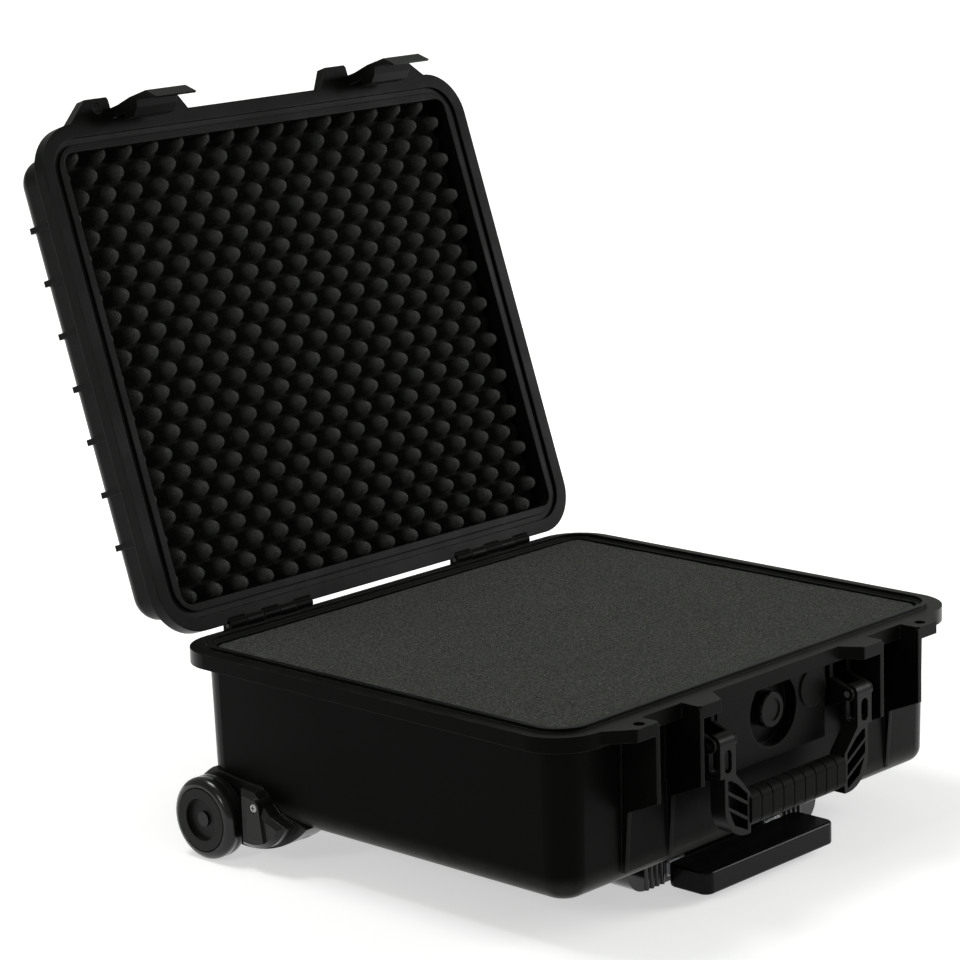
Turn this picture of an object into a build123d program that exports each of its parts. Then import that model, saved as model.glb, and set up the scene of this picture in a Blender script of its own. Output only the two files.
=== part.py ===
from build123d import *
from math import ceil, hypot, radians, tan
import os

# A rolling hard case for a laptop: two moulded shells joined by pinned hinges, two lid latches,
# a carry handle, a purge valve, foam linings, and a two-stage trolley with a pair of wheels.
# X runs along the hinges, the latches are on the -Y side, and +Z is up. The origin is the middle
# of the base shell's flat underside. Pieces of the lid are drawn shut, then swung to the open stop.

os.makedirs("parts", exist_ok=True)

# ---------------------------------------------------------------- driving sizes, in millimetres
# Shells
case_width = 474.0
case_depth = 412.0
base_height = 129.0
lid_height = 60.0
rim_corner_radius = 38.0
rim_height = 12.0
rim_overhang = 15.5
rim_land = 22.5
rim_skirt = 3.2
rim_top_thickness = 4.0
floor_thickness = 4.0
wall_draft = 1.2
cavity_draft = 0.4
bottom_edge_radius = 12.0
lid_top_thickness = 3.5
lid_edge_radius = 14.0
parting_gap = 0.4
open_angle = 108.5

# Seal between the rims
tongue_inset = 12.0
tongue_width = 3.6
tongue_height = 3.0
groove_clearance = 0.7
groove_wall = 2.0
gasket_thickness = 3.2
gasket_gap = 0.5

# Guards on both sides of each latch
latch_offset = 132.5
latch_channel = 45.0
guard_reach = 17.5
guard_flat = 24.0
outer_guard_slope = 20.0
inner_guard_slope = 11.0
guard_corner = 2.0
guard_thickness = 10.0
guard_wall = 4.0
guard_wall_low = 68.0
guard_wall_foot = 56.0
wall_root = 5.0
lid_guard_height = 20.0
padlock_radius = 4.6
padlock_reach = 9.5
padlock_inset = 13.0

# The guards' thin walls run on down the front as slim ribs
rib_top_proud = 5.0
rib_low_proud = 1.0
rib_low = 9.0

# Latches
latch_width = 42.0
latch_gap = 0.6
latch_pin_radius = 1.6
latch_pin_overhang = 1.5
latch_pivot_rise = 11.0
latch_pivot_reach = 4.8
latch_thickness = 8.0
latch_bulge = 2.0
claw_depth = 5.0
claw_height = 11.0
latch_length = 56.0
latch_skin = 2.2
latch_rib = 2.0

# Lid side ribs
lid_rib_count = 7
lid_rib_pitch = 43.3
lid_rib_shift = -4.5
lid_rib_width = 5.0
lid_rib_proud = 2.2
lid_rib_wrap = 24.0

# Hinges
hinge_reach = 0.8
hinge_rise = 3.0
hinge_offset = 130.0
knuckle_count = 5
knuckle_length = 18.0
knuckle_radius = 5.0
knuckle_gap = 0.5
hinge_relief = 0.6
hinge_web_drop = 10.0
hinge_pin_radius = 2.0

# Carry handle
handle_thickness = 14.0
handle_reach = 13.0
handle_half = 91.0
handle_box_width = 17.5
handle_low = 20.0
handle_corner_radius = 25.0
handle_pivot_z = 94.5
handle_pin_radius = 2.5
grip_half = 57.0
grip_lift = 4.0
grip_height = 27.0
grip_depth = 17.0
grip_corner = 7.0
grip_core_height = 17.0
grip_core_depth = 9.0
grip_groove_pitch = 13.0
grip_groove_count = 8
grip_groove_width = 1.2
grip_groove_depth = 0.8
arm_inset = 5.0
arm_top = 69.0
box_sill = 3.0
box_window_width = 8.5
box_window_height = 18.0
box_window_side = 7.5
arm_slot_width = 8.0
arm_slot_pitch = 12.0
arm_slot_angle = -31.0
arm_slot_depth = 10.0
arm_margin = 3.2
ear_thickness = 3.6
ear_gap = 0.4
ear_radius = 5.5
ear_upper_reach = 3.0
ear_low = 76.0

# Purge valve and the panel round it
valve_z = 96.0
valve_recess_radius = 28.0
valve_recess_depth = 11.0
valve_bore_radius = 9.0
valve_stem_bore = 5.0
valve_flange_radius = 12.5
valve_flange_thickness = 2.2
valve_seal_thickness = 1.2
valve_knob_radius = 14.0
valve_knob_height = 6.6
valve_knob_gap = 0.3
valve_flutes = 10
valve_flute_radius = 1.6
valve_dish_radius = 9.0
valve_dish_depth = 1.2
valve_nut_width = 26.0
valve_nut_thickness = 5.0
panel_left = 66.0
panel_right = 63.0
panel_low = 60.0
panel_slope = 8.0
panel_setback = 3.0
boss_x = 47.0
boss_z = 103.0
boss_radius = 15.0
boss_height = 1.6

# Foam
foam_gap = 0.3
foam_pad_thickness = 14.0
foam_top_drop = 1.0
foam_split = 70.0
foam_corner_radius = 10.0
nut_pocket = 3.0
crate_peak_drop = 6.0
crate_peak_pitch = 27.8
crate_row_pitch = 16.3
crate_peak_x = -3.2
crate_peak_y = -16.5
crate_groove_width = 16.0
crate_groove_depth = 22.0

# Wheels and their brackets
wheel_radius = 33.0
wheel_width = 21.0
wheel_y = 172.0
wheel_z = -4.0
wheel_overhang = 6.5
wheel_gap = 1.0
tyre_thickness = 8.0
tyre_shoulder = 6.0
hub_dish_radius = 17.0
hub_dish_depth = 4.0
axle_radius = 3.0
axle_head_radius = 6.0
axle_head_thickness = 1.6
axle_play = 0.3
axle_embed = 39.0
bracket_embed = 41.0
bracket_front = 76.0
bracket_top = 32.0
bracket_low = -22.0
fairing_reach = 14.0
fairing_edge = 4.0
web_top = 6.0
web_foot = 20.0
web_proud = 2.0
bracket_screw_y = 118.0
bracket_screw_z = 15.0
bracket_floor_screw_inset = 33.0
bracket_floor_screw_pitch = 42.0

# Trolley
tube_offset = 58.0
tube_z = -21.0
outer_tube_width = 24.0
outer_tube_height = 16.0
tube_wall = 1.2
tube_clearance = 0.3
outer_tube_front = -148.0
outer_tube_length = 298.0
middle_tube_setback = 10.0
inner_tube_setback = 4.0
tube_corner = 4.0
grip_bar_length = 156.0
grip_bar_depth = 40.0
grip_bar_height = 18.0
grip_bar_front = -201.0
grip_bar_corner = 8.0
grip_bar_edge = 2.0
grip_bar_seat = 14.0
guide_front = -154.0
guide_depth = 30.0
guide_half = 114.0
guide_bottom = -31.0
guide_corner = 20.0
guide_ribs = (74.0, 80.0, 86.0, 92.0)
guide_rib_radius = 1.8
foot_offset = 88.0
foot_y = -80.0
foot_width = 22.0
foot_length = 34.0
foot_round = 9.0
foot_rail_height = 12.0
pad_thickness = 3.0
pad_margin = 3.0
anchor_depth = 20.0
anchor_half = 94.0
anchor_corner = 5.0
anchor_screw_inset = 10.0
tube_socket = 8.0
tube_screw_spacing = 26.0
button_length = 70.0
button_width = 14.0
button_proud = 3.0
button_seat = 9.0
button_gap = 0.3
button_corner = 4.0

# Round pad in the middle of the underside, ringed by a fine groove
gate_pad_radius = 20.0
gate_ring_width = 1.0
gate_ring_depth = 0.5

# Screws
screw_radius = 2.0
screw_head_radius = 4.0
screw_head_height = 2.4
screw_grip = 3.0

running_clearance = 0.05

# ---------------------------------------------------------------- sizes worked out from them
sides = (-1, 1)
half_depth = case_depth / 2
wall_width = case_width - 2 * rim_overhang
wall_depth = case_depth - 2 * rim_overhang
wall_radius = rim_corner_radius - rim_overhang
front_rim_y = -half_depth
front_wall_y = -wall_depth / 2
cavity_front_y = -half_depth + rim_land
rim_bottom_z = base_height - rim_height
lid_rim_z = base_height + parting_gap
lid_top_z = base_height + lid_height
guard_y = front_rim_y - guard_reach
channel_inner = latch_offset - latch_channel / 2
channel_outer = latch_offset + latch_channel / 2
hinge_y = half_depth + hinge_reach
hinge_z = base_height + hinge_rise
hinge_axis = Axis((0, hinge_y, hinge_z), (1, 0, 0))
latch_pivot_y = front_rim_y - latch_pivot_reach
latch_pivot_z = lid_rim_z + latch_pivot_rise
latch_pin_inner = channel_inner - guard_wall - latch_pin_overhang
latch_pin_outer = channel_outer + guard_wall + latch_pin_overhang
handle_pivot_y = front_rim_y - handle_reach
handle_front_y = handle_pivot_y - handle_thickness / 2
handle_box_inner = handle_half - handle_box_width
arm_half = handle_half - arm_inset
panel_y = front_rim_y + panel_setback
recess_floor_y = panel_y + valve_recess_depth
floor_z = wheel_z - wheel_radius
wheel_outer = case_width / 2 + wheel_overhang
axle_inner = case_width / 2 - axle_embed
bracket_inner = case_width / 2 - bracket_embed
grip_bar_top = tube_z + grip_bar_height / 2
grip_bar_back = grip_bar_front + grip_bar_depth


def save(part, name):
    """Label one finished piece and write it to its own file."""
    part.label = name
    export_step(part, "parts/" + name + ".step")


def save_swung(part, name):
    """Save a piece of the lid, turned about the hinges from shut to the open stop."""
    save(part.rotate(hinge_axis, -open_angle), name)


def rounded_prism(plane, width, depth, radius, height, taper=0.0, mode=Mode.ADD):
    """A prism on a rounded rectangle."""
    with BuildSketch(plane) as outline:
        RectangleRounded(width, depth, radius)
    extrude(outline.sketch, amount=height, taper=taper, mode=mode)


def rim_ring(height, inset, band, thickness, mode=Mode.ADD):
    """A ring that follows the rim, between two insets from its outer edge."""
    with BuildSketch(Plane.XY.offset(height)) as ring:
        RectangleRounded(case_width - 2 * inset, case_depth - 2 * inset, rim_corner_radius - inset)
        inner = inset + band
        RectangleRounded(case_width - 2 * inner, case_depth - 2 * inner, rim_corner_radius - inner,
                         mode=Mode.SUBTRACT)
    extrude(ring.sketch, amount=thickness, mode=mode)


def x_slab(x_one, x_two, points, mode=Mode.ADD):
    """A plate standing across X, cut to a profile of (y, z) points."""
    with BuildSketch(Plane.YZ.offset(min(x_one, x_two))) as profile:
        with BuildLine():
            Polyline(*points, close=True)
        make_face()
    extrude(profile.sketch, amount=abs(x_two - x_one), mode=mode)


def x_bar(x_one, x_two, y, z, radius, mode=Mode.ADD):
    """A round bar or bore along X."""
    with BuildSketch(Plane.YZ.offset(min(x_one, x_two))) as section:
        with Locations((y, z)):
            Circle(radius)
    extrude(section.sketch, amount=abs(x_two - x_one), mode=mode)


def y_bar(x, z, y_from, y_to, radius, mode=Mode.ADD):
    """A round bar or bore along Y."""
    with BuildSketch(Plane.XZ.offset(-y_from)) as section:
        with Locations((x, z)):
            Circle(radius)
    extrude(section.sketch, amount=y_from - y_to, mode=mode)


def z_bars(spots, z_from, z_to, radius, mode=Mode.ADD):
    """Round bars or bores along Z, at (x, y) spots."""
    with BuildSketch(Plane.XY.offset(z_from)) as section:
        with Locations(*spots):
            Circle(radius)
    extrude(section.sketch, amount=z_to - z_from, mode=mode)


def guard_plates(height, thickness):
    """Four plates beside the latches: square next to the latch, sloping back to the rim beyond."""
    root = front_rim_y + rim_skirt
    edges = ((channel_inner, -1, inner_guard_slope), (channel_outer, 1, outer_guard_slope))
    for side in sides:
        for edge, outward, slope in edges:
            with BuildSketch(Plane.XY.offset(height)) as plate:
                with BuildLine():
                    Polyline(
                        (side * edge, root),
                        (side * edge, guard_y + guard_corner),
                        (side * (edge + outward * guard_corner), guard_y),
                        (side * (edge + outward * guard_flat), guard_y),
                        (side * (edge + outward * (guard_flat + slope)), front_rim_y),
                        (side * (edge + outward * (guard_flat + slope)), root),
                        close=True,
                    )
                make_face()
            extrude(plate.sketch, amount=thickness)


def padlock_holes(z_from, z_to):
    """A hole through each outer guard, for a padlock that ties lid and base together."""
    spots = [(side * (channel_outer + padlock_inset), front_rim_y - padlock_reach) for side in sides]
    z_bars(spots, z_from, z_to, padlock_radius, Mode.SUBTRACT)


def channel_walls(points):
    """The thin walls on both sides of each latch, cut to a (y, z) profile."""
    for side in sides:
        x_slab(side * (channel_inner - guard_wall), side * channel_inner, points)
        x_slab(side * channel_outer, side * (channel_outer + guard_wall), points)


def knuckle_spans(first):
    """X ranges of every second knuckle of both hinges, from the given one on."""
    spans = []
    for side in sides:
        start = side * hinge_offset - knuckle_count * knuckle_length / 2
        for number in range(first, knuckle_count, 2):
            left = start + number * knuckle_length
            spans.append((left + knuckle_gap / 2, left + knuckle_length - knuckle_gap / 2))
    return spans


base_knuckles = knuckle_spans(0)
lid_knuckles = knuckle_spans(1)


def hinge_knuckles(spans, web_points):
    """Knuckles with the webs that carry them, bored for the pin."""
    for left, right in spans:
        x_slab(left, right, web_points)
        x_bar(left, right, hinge_y, hinge_z, knuckle_radius)
        x_bar(left, right, hinge_y, hinge_z, hinge_pin_radius + running_clearance, Mode.SUBTRACT)


def hinge_reliefs(spans):
    """Room in a rim for the other shell's knuckles."""
    for left, right in spans:
        x_bar(left - knuckle_gap, right + knuckle_gap, hinge_y, hinge_z,
              knuckle_radius + hinge_relief, Mode.SUBTRACT)


def cavity_size(z):
    """Width, depth and corner radius of the base cavity at a height."""
    shrink = rim_land + (base_height - z) * tan(radians(cavity_draft))
    return case_width - 2 * shrink, case_depth - 2 * shrink, foam_corner_radius


# ---------------------------------------------------------------- base shell
anchor_y = outer_tube_front + outer_tube_length - tube_socket
bracket_screw_x = case_width / 2 - bracket_floor_screw_inset
bracket_screw_spots = [
    (side * bracket_screw_x, bracket_screw_y - 1 + end * bracket_floor_screw_pitch / 2)
    for side in sides for end in sides
]
guide_screw_spots = [
    (side * x, y) for side in sides for x, y in (
        (tube_offset - tube_screw_spacing, guide_front + guide_depth / 2), (foot_offset, foot_y))
]
anchor_screw_spots = [
    (side * x, anchor_y + anchor_depth / 2)
    for side in sides for x in (tube_offset - tube_screw_spacing, anchor_half - anchor_screw_inset)
]
screw_spots = bracket_screw_spots + guide_screw_spots + anchor_screw_spots

with BuildPart() as base_form:
    rounded_prism(Plane.XY.offset(rim_bottom_z), wall_width, wall_depth, wall_radius,
                  -rim_bottom_z, wall_draft)
    fillet(base_form.faces().sort_by(Axis.Z)[0].edges(), bottom_edge_radius)

with BuildPart() as cavity_form:
    rounded_prism(Plane.XY.offset(base_height), *cavity_size(base_height), floor_thickness - base_height,
                  cavity_draft)
    fillet(cavity_form.faces().sort_by(Axis.Z)[0].edges(), bottom_edge_radius - floor_thickness)

with BuildPart() as base_shell:
    add(base_form.part)
    rounded_prism(Plane.XY.offset(rim_bottom_z), case_width, case_depth, rim_corner_radius, rim_height)
    rim_ring(rim_bottom_z, rim_skirt, rim_overhang - rim_skirt, rim_height - rim_top_thickness,
             Mode.SUBTRACT)
    rim_ring(base_height, tongue_inset, tongue_width, tongue_height)

    # Latch guards, their thin walls that run down as ribs, and an upright panel between each pair.
    guard_plates(base_height - guard_thickness, guard_thickness)
    padlock_holes(base_height - guard_thickness, base_height)
    root = front_wall_y + wall_root
    channel_walls([
        (root, base_height - guard_corner), (guard_y, base_height - guard_corner),
        (guard_y, guard_wall_low), (front_wall_y - rib_top_proud, guard_wall_foot),
        (front_wall_y - rib_low_proud, rib_low), (root, rib_low),
    ])
    for side in sides:
        x_slab(side * channel_inner, side * channel_outer, [
            (root, guard_wall_low), (front_wall_y, guard_wall_low),
            (front_wall_y, rib_low), (root, rib_low),
        ])

    # The panel round the purge valve, its finger recess and a plain boss.
    x_slab(-panel_left, panel_right, [
        (root, rim_bottom_z + 2), (panel_y, rim_bottom_z + 2),
        (panel_y, panel_low), (root, panel_low - panel_slope),
    ])
    y_bar(0, valve_z, panel_y, recess_floor_y, valve_recess_radius, Mode.SUBTRACT)
    y_bar(boss_x, boss_z, panel_y, panel_y - boss_height, boss_radius)
    x_slab(-panel_left, panel_right, [
        (front_rim_y - boss_radius, base_height), (front_rim_y - boss_radius, rim_bottom_z),
        (front_rim_y, rim_bottom_z), (front_rim_y, base_height),
    ], Mode.SUBTRACT)

    # Ears for the carry handle's pins.
    ear_y = front_rim_y - ear_upper_reach
    for side in sides:
        for inner in (handle_box_inner - ear_gap - ear_thickness, handle_half + ear_gap):
            x_slab(side * inner, side * (inner + ear_thickness), [
                (root, rim_bottom_z + 1), (ear_y + ear_upper_reach * 2, rim_bottom_z + 1),
                (ear_y + ear_upper_reach * 2, handle_pivot_z + 2 * ear_radius),
                (handle_pivot_y, handle_pivot_z + ear_radius),
                (handle_pivot_y, handle_pivot_z - ear_radius), (root, ear_low),
            ])
            x_bar(side * inner, side * (inner + ear_thickness), handle_pivot_y, handle_pivot_z, ear_radius)
    pin_end = handle_half + ear_gap + ear_thickness
    x_bar(-pin_end, pin_end, handle_pivot_y, handle_pivot_z, handle_pin_radius, Mode.SUBTRACT)

    # The cavity, its rounded floor, and the holes through the shell.
    add(cavity_form.part, mode=Mode.SUBTRACT)
    y_bar(0, valve_z, panel_y, cavity_front_y + 2 * wall_draft, valve_bore_radius, Mode.SUBTRACT)
    z_bars(screw_spots, 0, floor_thickness, screw_radius, Mode.SUBTRACT)
    for side in sides:
        x_bar(side * case_width / 2, side * cavity_size(0)[0] / 2, bracket_screw_y, bracket_screw_z,
              screw_radius, Mode.SUBTRACT)

    # The fine groove round the gate pad.
    with BuildSketch(Plane.XY):
        Circle(gate_pad_radius + gate_ring_width)
        Circle(gate_pad_radius, mode=Mode.SUBTRACT)
    extrude(amount=gate_ring_depth, mode=Mode.SUBTRACT)

    # Hinge knuckles along the back of the rim.
    hinge_reliefs(lid_knuckles)
    hinge_knuckles(base_knuckles, [
        (half_depth - rim_skirt, rim_bottom_z + 2), (hinge_y + 1, rim_bottom_z + 2),
        (hinge_y + knuckle_radius, hinge_z - hinge_web_drop + 2), (hinge_y + knuckle_radius, hinge_z),
        (hinge_y, hinge_z), (hinge_y, base_height), (half_depth - rim_skirt, base_height),
    ])
save(base_shell.part, "base_shell")

# ---------------------------------------------------------------- purge valve
seal_y = recess_floor_y - valve_seal_thickness
flange_y = seal_y - valve_flange_thickness
knob_y = flange_y - valve_knob_gap
nut_y = cavity_front_y + 2 * wall_draft

with BuildPart() as purge_valve_seal:
    y_bar(0, valve_z, seal_y, recess_floor_y, valve_flange_radius - running_clearance)
    y_bar(0, valve_z, seal_y, recess_floor_y, valve_bore_radius, Mode.SUBTRACT)
save(purge_valve_seal.part, "purge_valve_seal")

with BuildPart() as purge_valve_body:
    y_bar(0, valve_z, flange_y, seal_y, valve_flange_radius)
    y_bar(0, valve_z, seal_y, nut_y + valve_nut_thickness, valve_bore_radius - running_clearance)
    y_bar(0, valve_z, flange_y, nut_y + valve_nut_thickness, valve_stem_bore, Mode.SUBTRACT)
save(purge_valve_body.part, "purge_valve_body")

with BuildPart() as purge_valve_nut:
    with BuildSketch(Plane.XZ.offset(-nut_y)):
        with Locations((0, valve_z)):
            RegularPolygon(valve_nut_width / 2, 6, major_radius=False)
            Circle(valve_bore_radius, mode=Mode.SUBTRACT)
    extrude(amount=-valve_nut_thickness)
save(purge_valve_nut.part, "purge_valve_nut")

# A screw cap with a fluted edge and a shallow dish; its stem runs in the body's bore.
with BuildPart() as purge_valve_knob:
    y_bar(0, valve_z, knob_y - valve_knob_height, knob_y, valve_knob_radius)
    chamfer(purge_valve_knob.faces().sort_by(Axis.Y)[0].edges(), valve_dish_depth)
    y_bar(0, valve_z, knob_y - valve_knob_height, knob_y - valve_knob_height + valve_dish_depth,
          valve_dish_radius, Mode.SUBTRACT)
    with BuildSketch(Plane.XZ.offset(-knob_y)):
        with Locations((0, valve_z)):
            with PolarLocations(valve_knob_radius + valve_flute_radius / 2, valve_flutes):
                Circle(valve_flute_radius)
    extrude(amount=valve_knob_height, mode=Mode.SUBTRACT)
    y_bar(0, valve_z, knob_y, nut_y, valve_stem_bore - running_clearance)
save(purge_valve_knob.part, "purge_valve_knob")

# ---------------------------------------------------------------- foam in the base
# Three layers fill the cavity: a firm pad, then two blocks to pluck; the top one clears the valve nut.
foam_top = base_height - foam_top_drop
layers = {
    "base_foam_pad": (floor_thickness + foam_gap, floor_thickness + foam_pad_thickness),
    "base_foam_lower": (floor_thickness + foam_pad_thickness, foam_split),
    "base_foam_upper": (foam_split, foam_top),
}
for layer_name, (layer_low, layer_top) in layers.items():
    top_width, top_depth, top_radius = cavity_size(layer_top)
    with BuildPart() as layer:
        rounded_prism(Plane.XY.offset(layer_top), top_width - 2 * foam_gap, top_depth - 2 * foam_gap,
                      top_radius, layer_low - layer_top, cavity_draft)
        if layer_name == "base_foam_pad":
            fillet(layer.faces().sort_by(Axis.Z)[0].edges(), bottom_edge_radius - floor_thickness)
        if layer_name == "base_foam_upper":
            pocket = valve_nut_width / 2 + nut_pocket
            pocket_back = nut_y + valve_nut_thickness + nut_pocket
            x_slab(-pocket, pocket, [
                (cavity_front_y, foam_top), (pocket_back, foam_top),
                (pocket_back, valve_z - pocket), (cavity_front_y, valve_z - pocket),
            ], Mode.SUBTRACT)
    save(layer.part, layer_name)

# ---------------------------------------------------------------- hinge pins
with BuildPart() as hinge_pins:
    for side in sides:
        middle = side * hinge_offset
        half = knuckle_count * knuckle_length / 2
        x_bar(middle - half, middle + half, hinge_y, hinge_z, hinge_pin_radius)
save(hinge_pins.part, "hinge_pins")

# ---------------------------------------------------------------- lid shell
with BuildPart() as lid_hollow:
    rounded_prism(Plane.XY.offset(lid_rim_z), case_width - 2 * rim_land, case_depth - 2 * rim_land,
                  foam_corner_radius, lid_top_z - lid_top_thickness - lid_rim_z, wall_draft)
    fillet(lid_hollow.faces().sort_by(Axis.Z)[-1].edges(), lid_edge_radius - lid_top_thickness)

with BuildPart() as lid_shell:
    rounded_prism(Plane.XY.offset(lid_rim_z), wall_width, wall_depth, wall_radius,
                  lid_top_z - lid_rim_z, wall_draft)
    fillet(lid_shell.faces().sort_by(Axis.Z)[-1].edges(), lid_edge_radius)

    # Upright ribs on both ends, wrapped over the dome's edge.
    rib_reach = wall_width / 2 + lid_rib_proud
    with BuildSketch(Plane.XY.offset(lid_rim_z)) as ribs:
        with Locations((0, lid_rib_shift)):
            with GridLocations(0, lid_rib_pitch, 1, lid_rib_count):
                Rectangle(2 * rib_reach, lid_rib_width)
        Rectangle(wall_width - 2 * lid_rib_wrap, wall_depth, mode=Mode.SUBTRACT)
    extrude(amount=lid_top_z - lid_rim_z - lid_edge_radius / 2)

    rounded_prism(Plane.XY.offset(lid_rim_z), case_width, case_depth, rim_corner_radius, rim_height)
    groove_inset = tongue_inset - groove_clearance
    groove_band = tongue_width + 2 * groove_clearance
    groove_depth = tongue_height + gasket_gap + gasket_thickness - parting_gap
    rim_ring(lid_rim_z + rim_top_thickness, rim_skirt, groove_inset - groove_wall - rim_skirt,
             rim_height - rim_top_thickness, Mode.SUBTRACT)

    guard_plates(lid_rim_z, guard_thickness)
    padlock_holes(lid_rim_z, lid_rim_z + guard_thickness)
    channel_walls([
        (front_rim_y + rim_skirt, lid_rim_z + 1), (guard_y, lid_rim_z + 1),
        (guard_y, lid_rim_z + lid_guard_height - guard_corner),
        (guard_y + guard_corner, lid_rim_z + lid_guard_height),
        (front_wall_y, lid_rim_z + lid_guard_height), (front_wall_y + 1, lid_rim_z + rim_height),
        (front_rim_y + rim_skirt, lid_rim_z + rim_height),
    ])
    for side in sides:
        x_bar(side * latch_pin_inner, side * latch_pin_outer, latch_pivot_y, latch_pivot_z, latch_pin_radius,
              Mode.SUBTRACT)

    # The hollow, the seal groove, and the hinge knuckles.
    add(lid_hollow.part, mode=Mode.SUBTRACT)
    rim_ring(lid_rim_z, groove_inset, groove_band, groove_depth, Mode.SUBTRACT)
    hinge_reliefs(base_knuckles)
    hinge_knuckles(lid_knuckles, [
        (half_depth - rim_skirt, lid_rim_z), (hinge_y, lid_rim_z), (hinge_y, hinge_z),
        (hinge_y + knuckle_radius, hinge_z), (hinge_y + knuckle_radius, hinge_z + hinge_web_drop - 4),
        (hinge_y + 1, hinge_z + hinge_web_drop - 1), (half_depth - rim_skirt, hinge_z + hinge_web_drop - 1),
    ])
save_swung(lid_shell.part, "lid_shell")

with BuildPart() as lid_gasket:
    rim_ring(lid_rim_z + groove_depth - gasket_thickness, groove_inset + running_clearance,
             groove_band - 2 * running_clearance, gasket_thickness)
save_swung(lid_gasket.part, "lid_gasket")

with BuildPart() as lid_foam:
    crate_low = lid_rim_z + crate_peak_drop
    crate_top = lid_top_z - lid_top_thickness - foam_gap
    rounded_prism(Plane.XY.offset(crate_low), case_width - 2 * rim_land - 2 * foam_gap,
                  case_depth - 2 * rim_land - 2 * foam_gap, foam_corner_radius, crate_top - crate_low,
                  wall_draft)
    fillet(lid_foam.faces().sort_by(Axis.Z)[-1].edges(), lid_edge_radius - lid_top_thickness)
    # Two sets of slanting grooves leave staggered, blunt peaks.
    for side in sides:
        across = Vector(1 / crate_peak_pitch, side / (2 * crate_row_pitch), 0)
        groove_pitch = 1 / across.length
        groove_count = 2 * ceil(hypot(case_width, case_depth) / 2 / groove_pitch)
        groove_plane = Plane((crate_peak_x, crate_peak_y, crate_low), x_dir=across,
                             z_dir=across.cross(Vector(0, 0, 1)))
        with BuildSketch(groove_plane):
            with GridLocations(groove_pitch, 1, groove_count, 1):
                Polygon((-crate_groove_width / 2, 0), (crate_groove_width / 2, 0),
                        (0, crate_groove_depth), align=None)
        extrude(amount=case_width, both=True, mode=Mode.SUBTRACT)
save_swung(lid_foam.part, "lid_foam")

# ---------------------------------------------------------------- latches
latch_back_y = front_rim_y - latch_gap
latch_face_y = latch_back_y - latch_thickness
claw_z = rim_bottom_z - latch_gap
claw_back_y = front_rim_y + claw_depth
lip_z = lid_rim_z - latch_length
lip_root_z = claw_z - claw_height - 8
bulge_y = latch_face_y - latch_bulge
hub_radius = latch_pivot_reach - latch_gap

for side, latch_name in ((-1, "left"), (1, "right")):
    latch_near = side * latch_offset - latch_width / 2
    latch_far = latch_near + latch_width

    with BuildPart() as latch_lever:
        x_slab(latch_near, latch_far, [
            (latch_back_y, latch_pivot_z - hub_radius), (latch_back_y, claw_z), (claw_back_y, claw_z),
            (claw_back_y, claw_z - claw_height), (latch_back_y, lip_root_z + 2),
            (bulge_y + latch_skin + 2, lip_root_z), (bulge_y + latch_skin + 2, lip_z + 13),
            (latch_back_y - 1, lip_z + 2), (latch_back_y - 2, lip_z), (bulge_y, lip_z + 11),
            (bulge_y, claw_z - claw_height), (latch_face_y, claw_z + 6), (latch_face_y, latch_pivot_z),
            (latch_pivot_y, latch_pivot_z),
        ])
        x_bar(latch_near, latch_far, latch_pivot_y, latch_pivot_z, hub_radius)
        x_bar(latch_near, latch_far, latch_pivot_y, latch_pivot_z, latch_pin_radius + running_clearance,
              Mode.SUBTRACT)
        # Two hollows in the back leave a skin, side cheeks and a middle rib.
        hollow_width = (latch_width - 2 * latch_skin - latch_rib) / 2
        for left in (latch_near + latch_skin, latch_far - latch_skin - hollow_width):
            x_slab(left, left + hollow_width, [
                (latch_back_y, latch_pivot_z - hub_radius - latch_skin),
                (latch_back_y, claw_z + latch_skin),
                (latch_face_y + latch_skin, claw_z + latch_skin),
                (latch_face_y + latch_skin, latch_pivot_z - hub_radius - latch_skin),
            ], Mode.SUBTRACT)
    save_swung(latch_lever.part, "latch_lever_" + latch_name)

    with BuildPart() as latch_pin:
        x_bar(side * latch_pin_inner, side * latch_pin_outer, latch_pivot_y, latch_pivot_z, latch_pin_radius)
    save_swung(latch_pin.part, "latch_pin_" + latch_name)

# ---------------------------------------------------------------- carry handle
grip_low = handle_low + grip_lift
grip_top = grip_low + grip_height
core_low = grip_low + (grip_height - grip_core_height) / 2
core_top = core_low + grip_core_height

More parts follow.
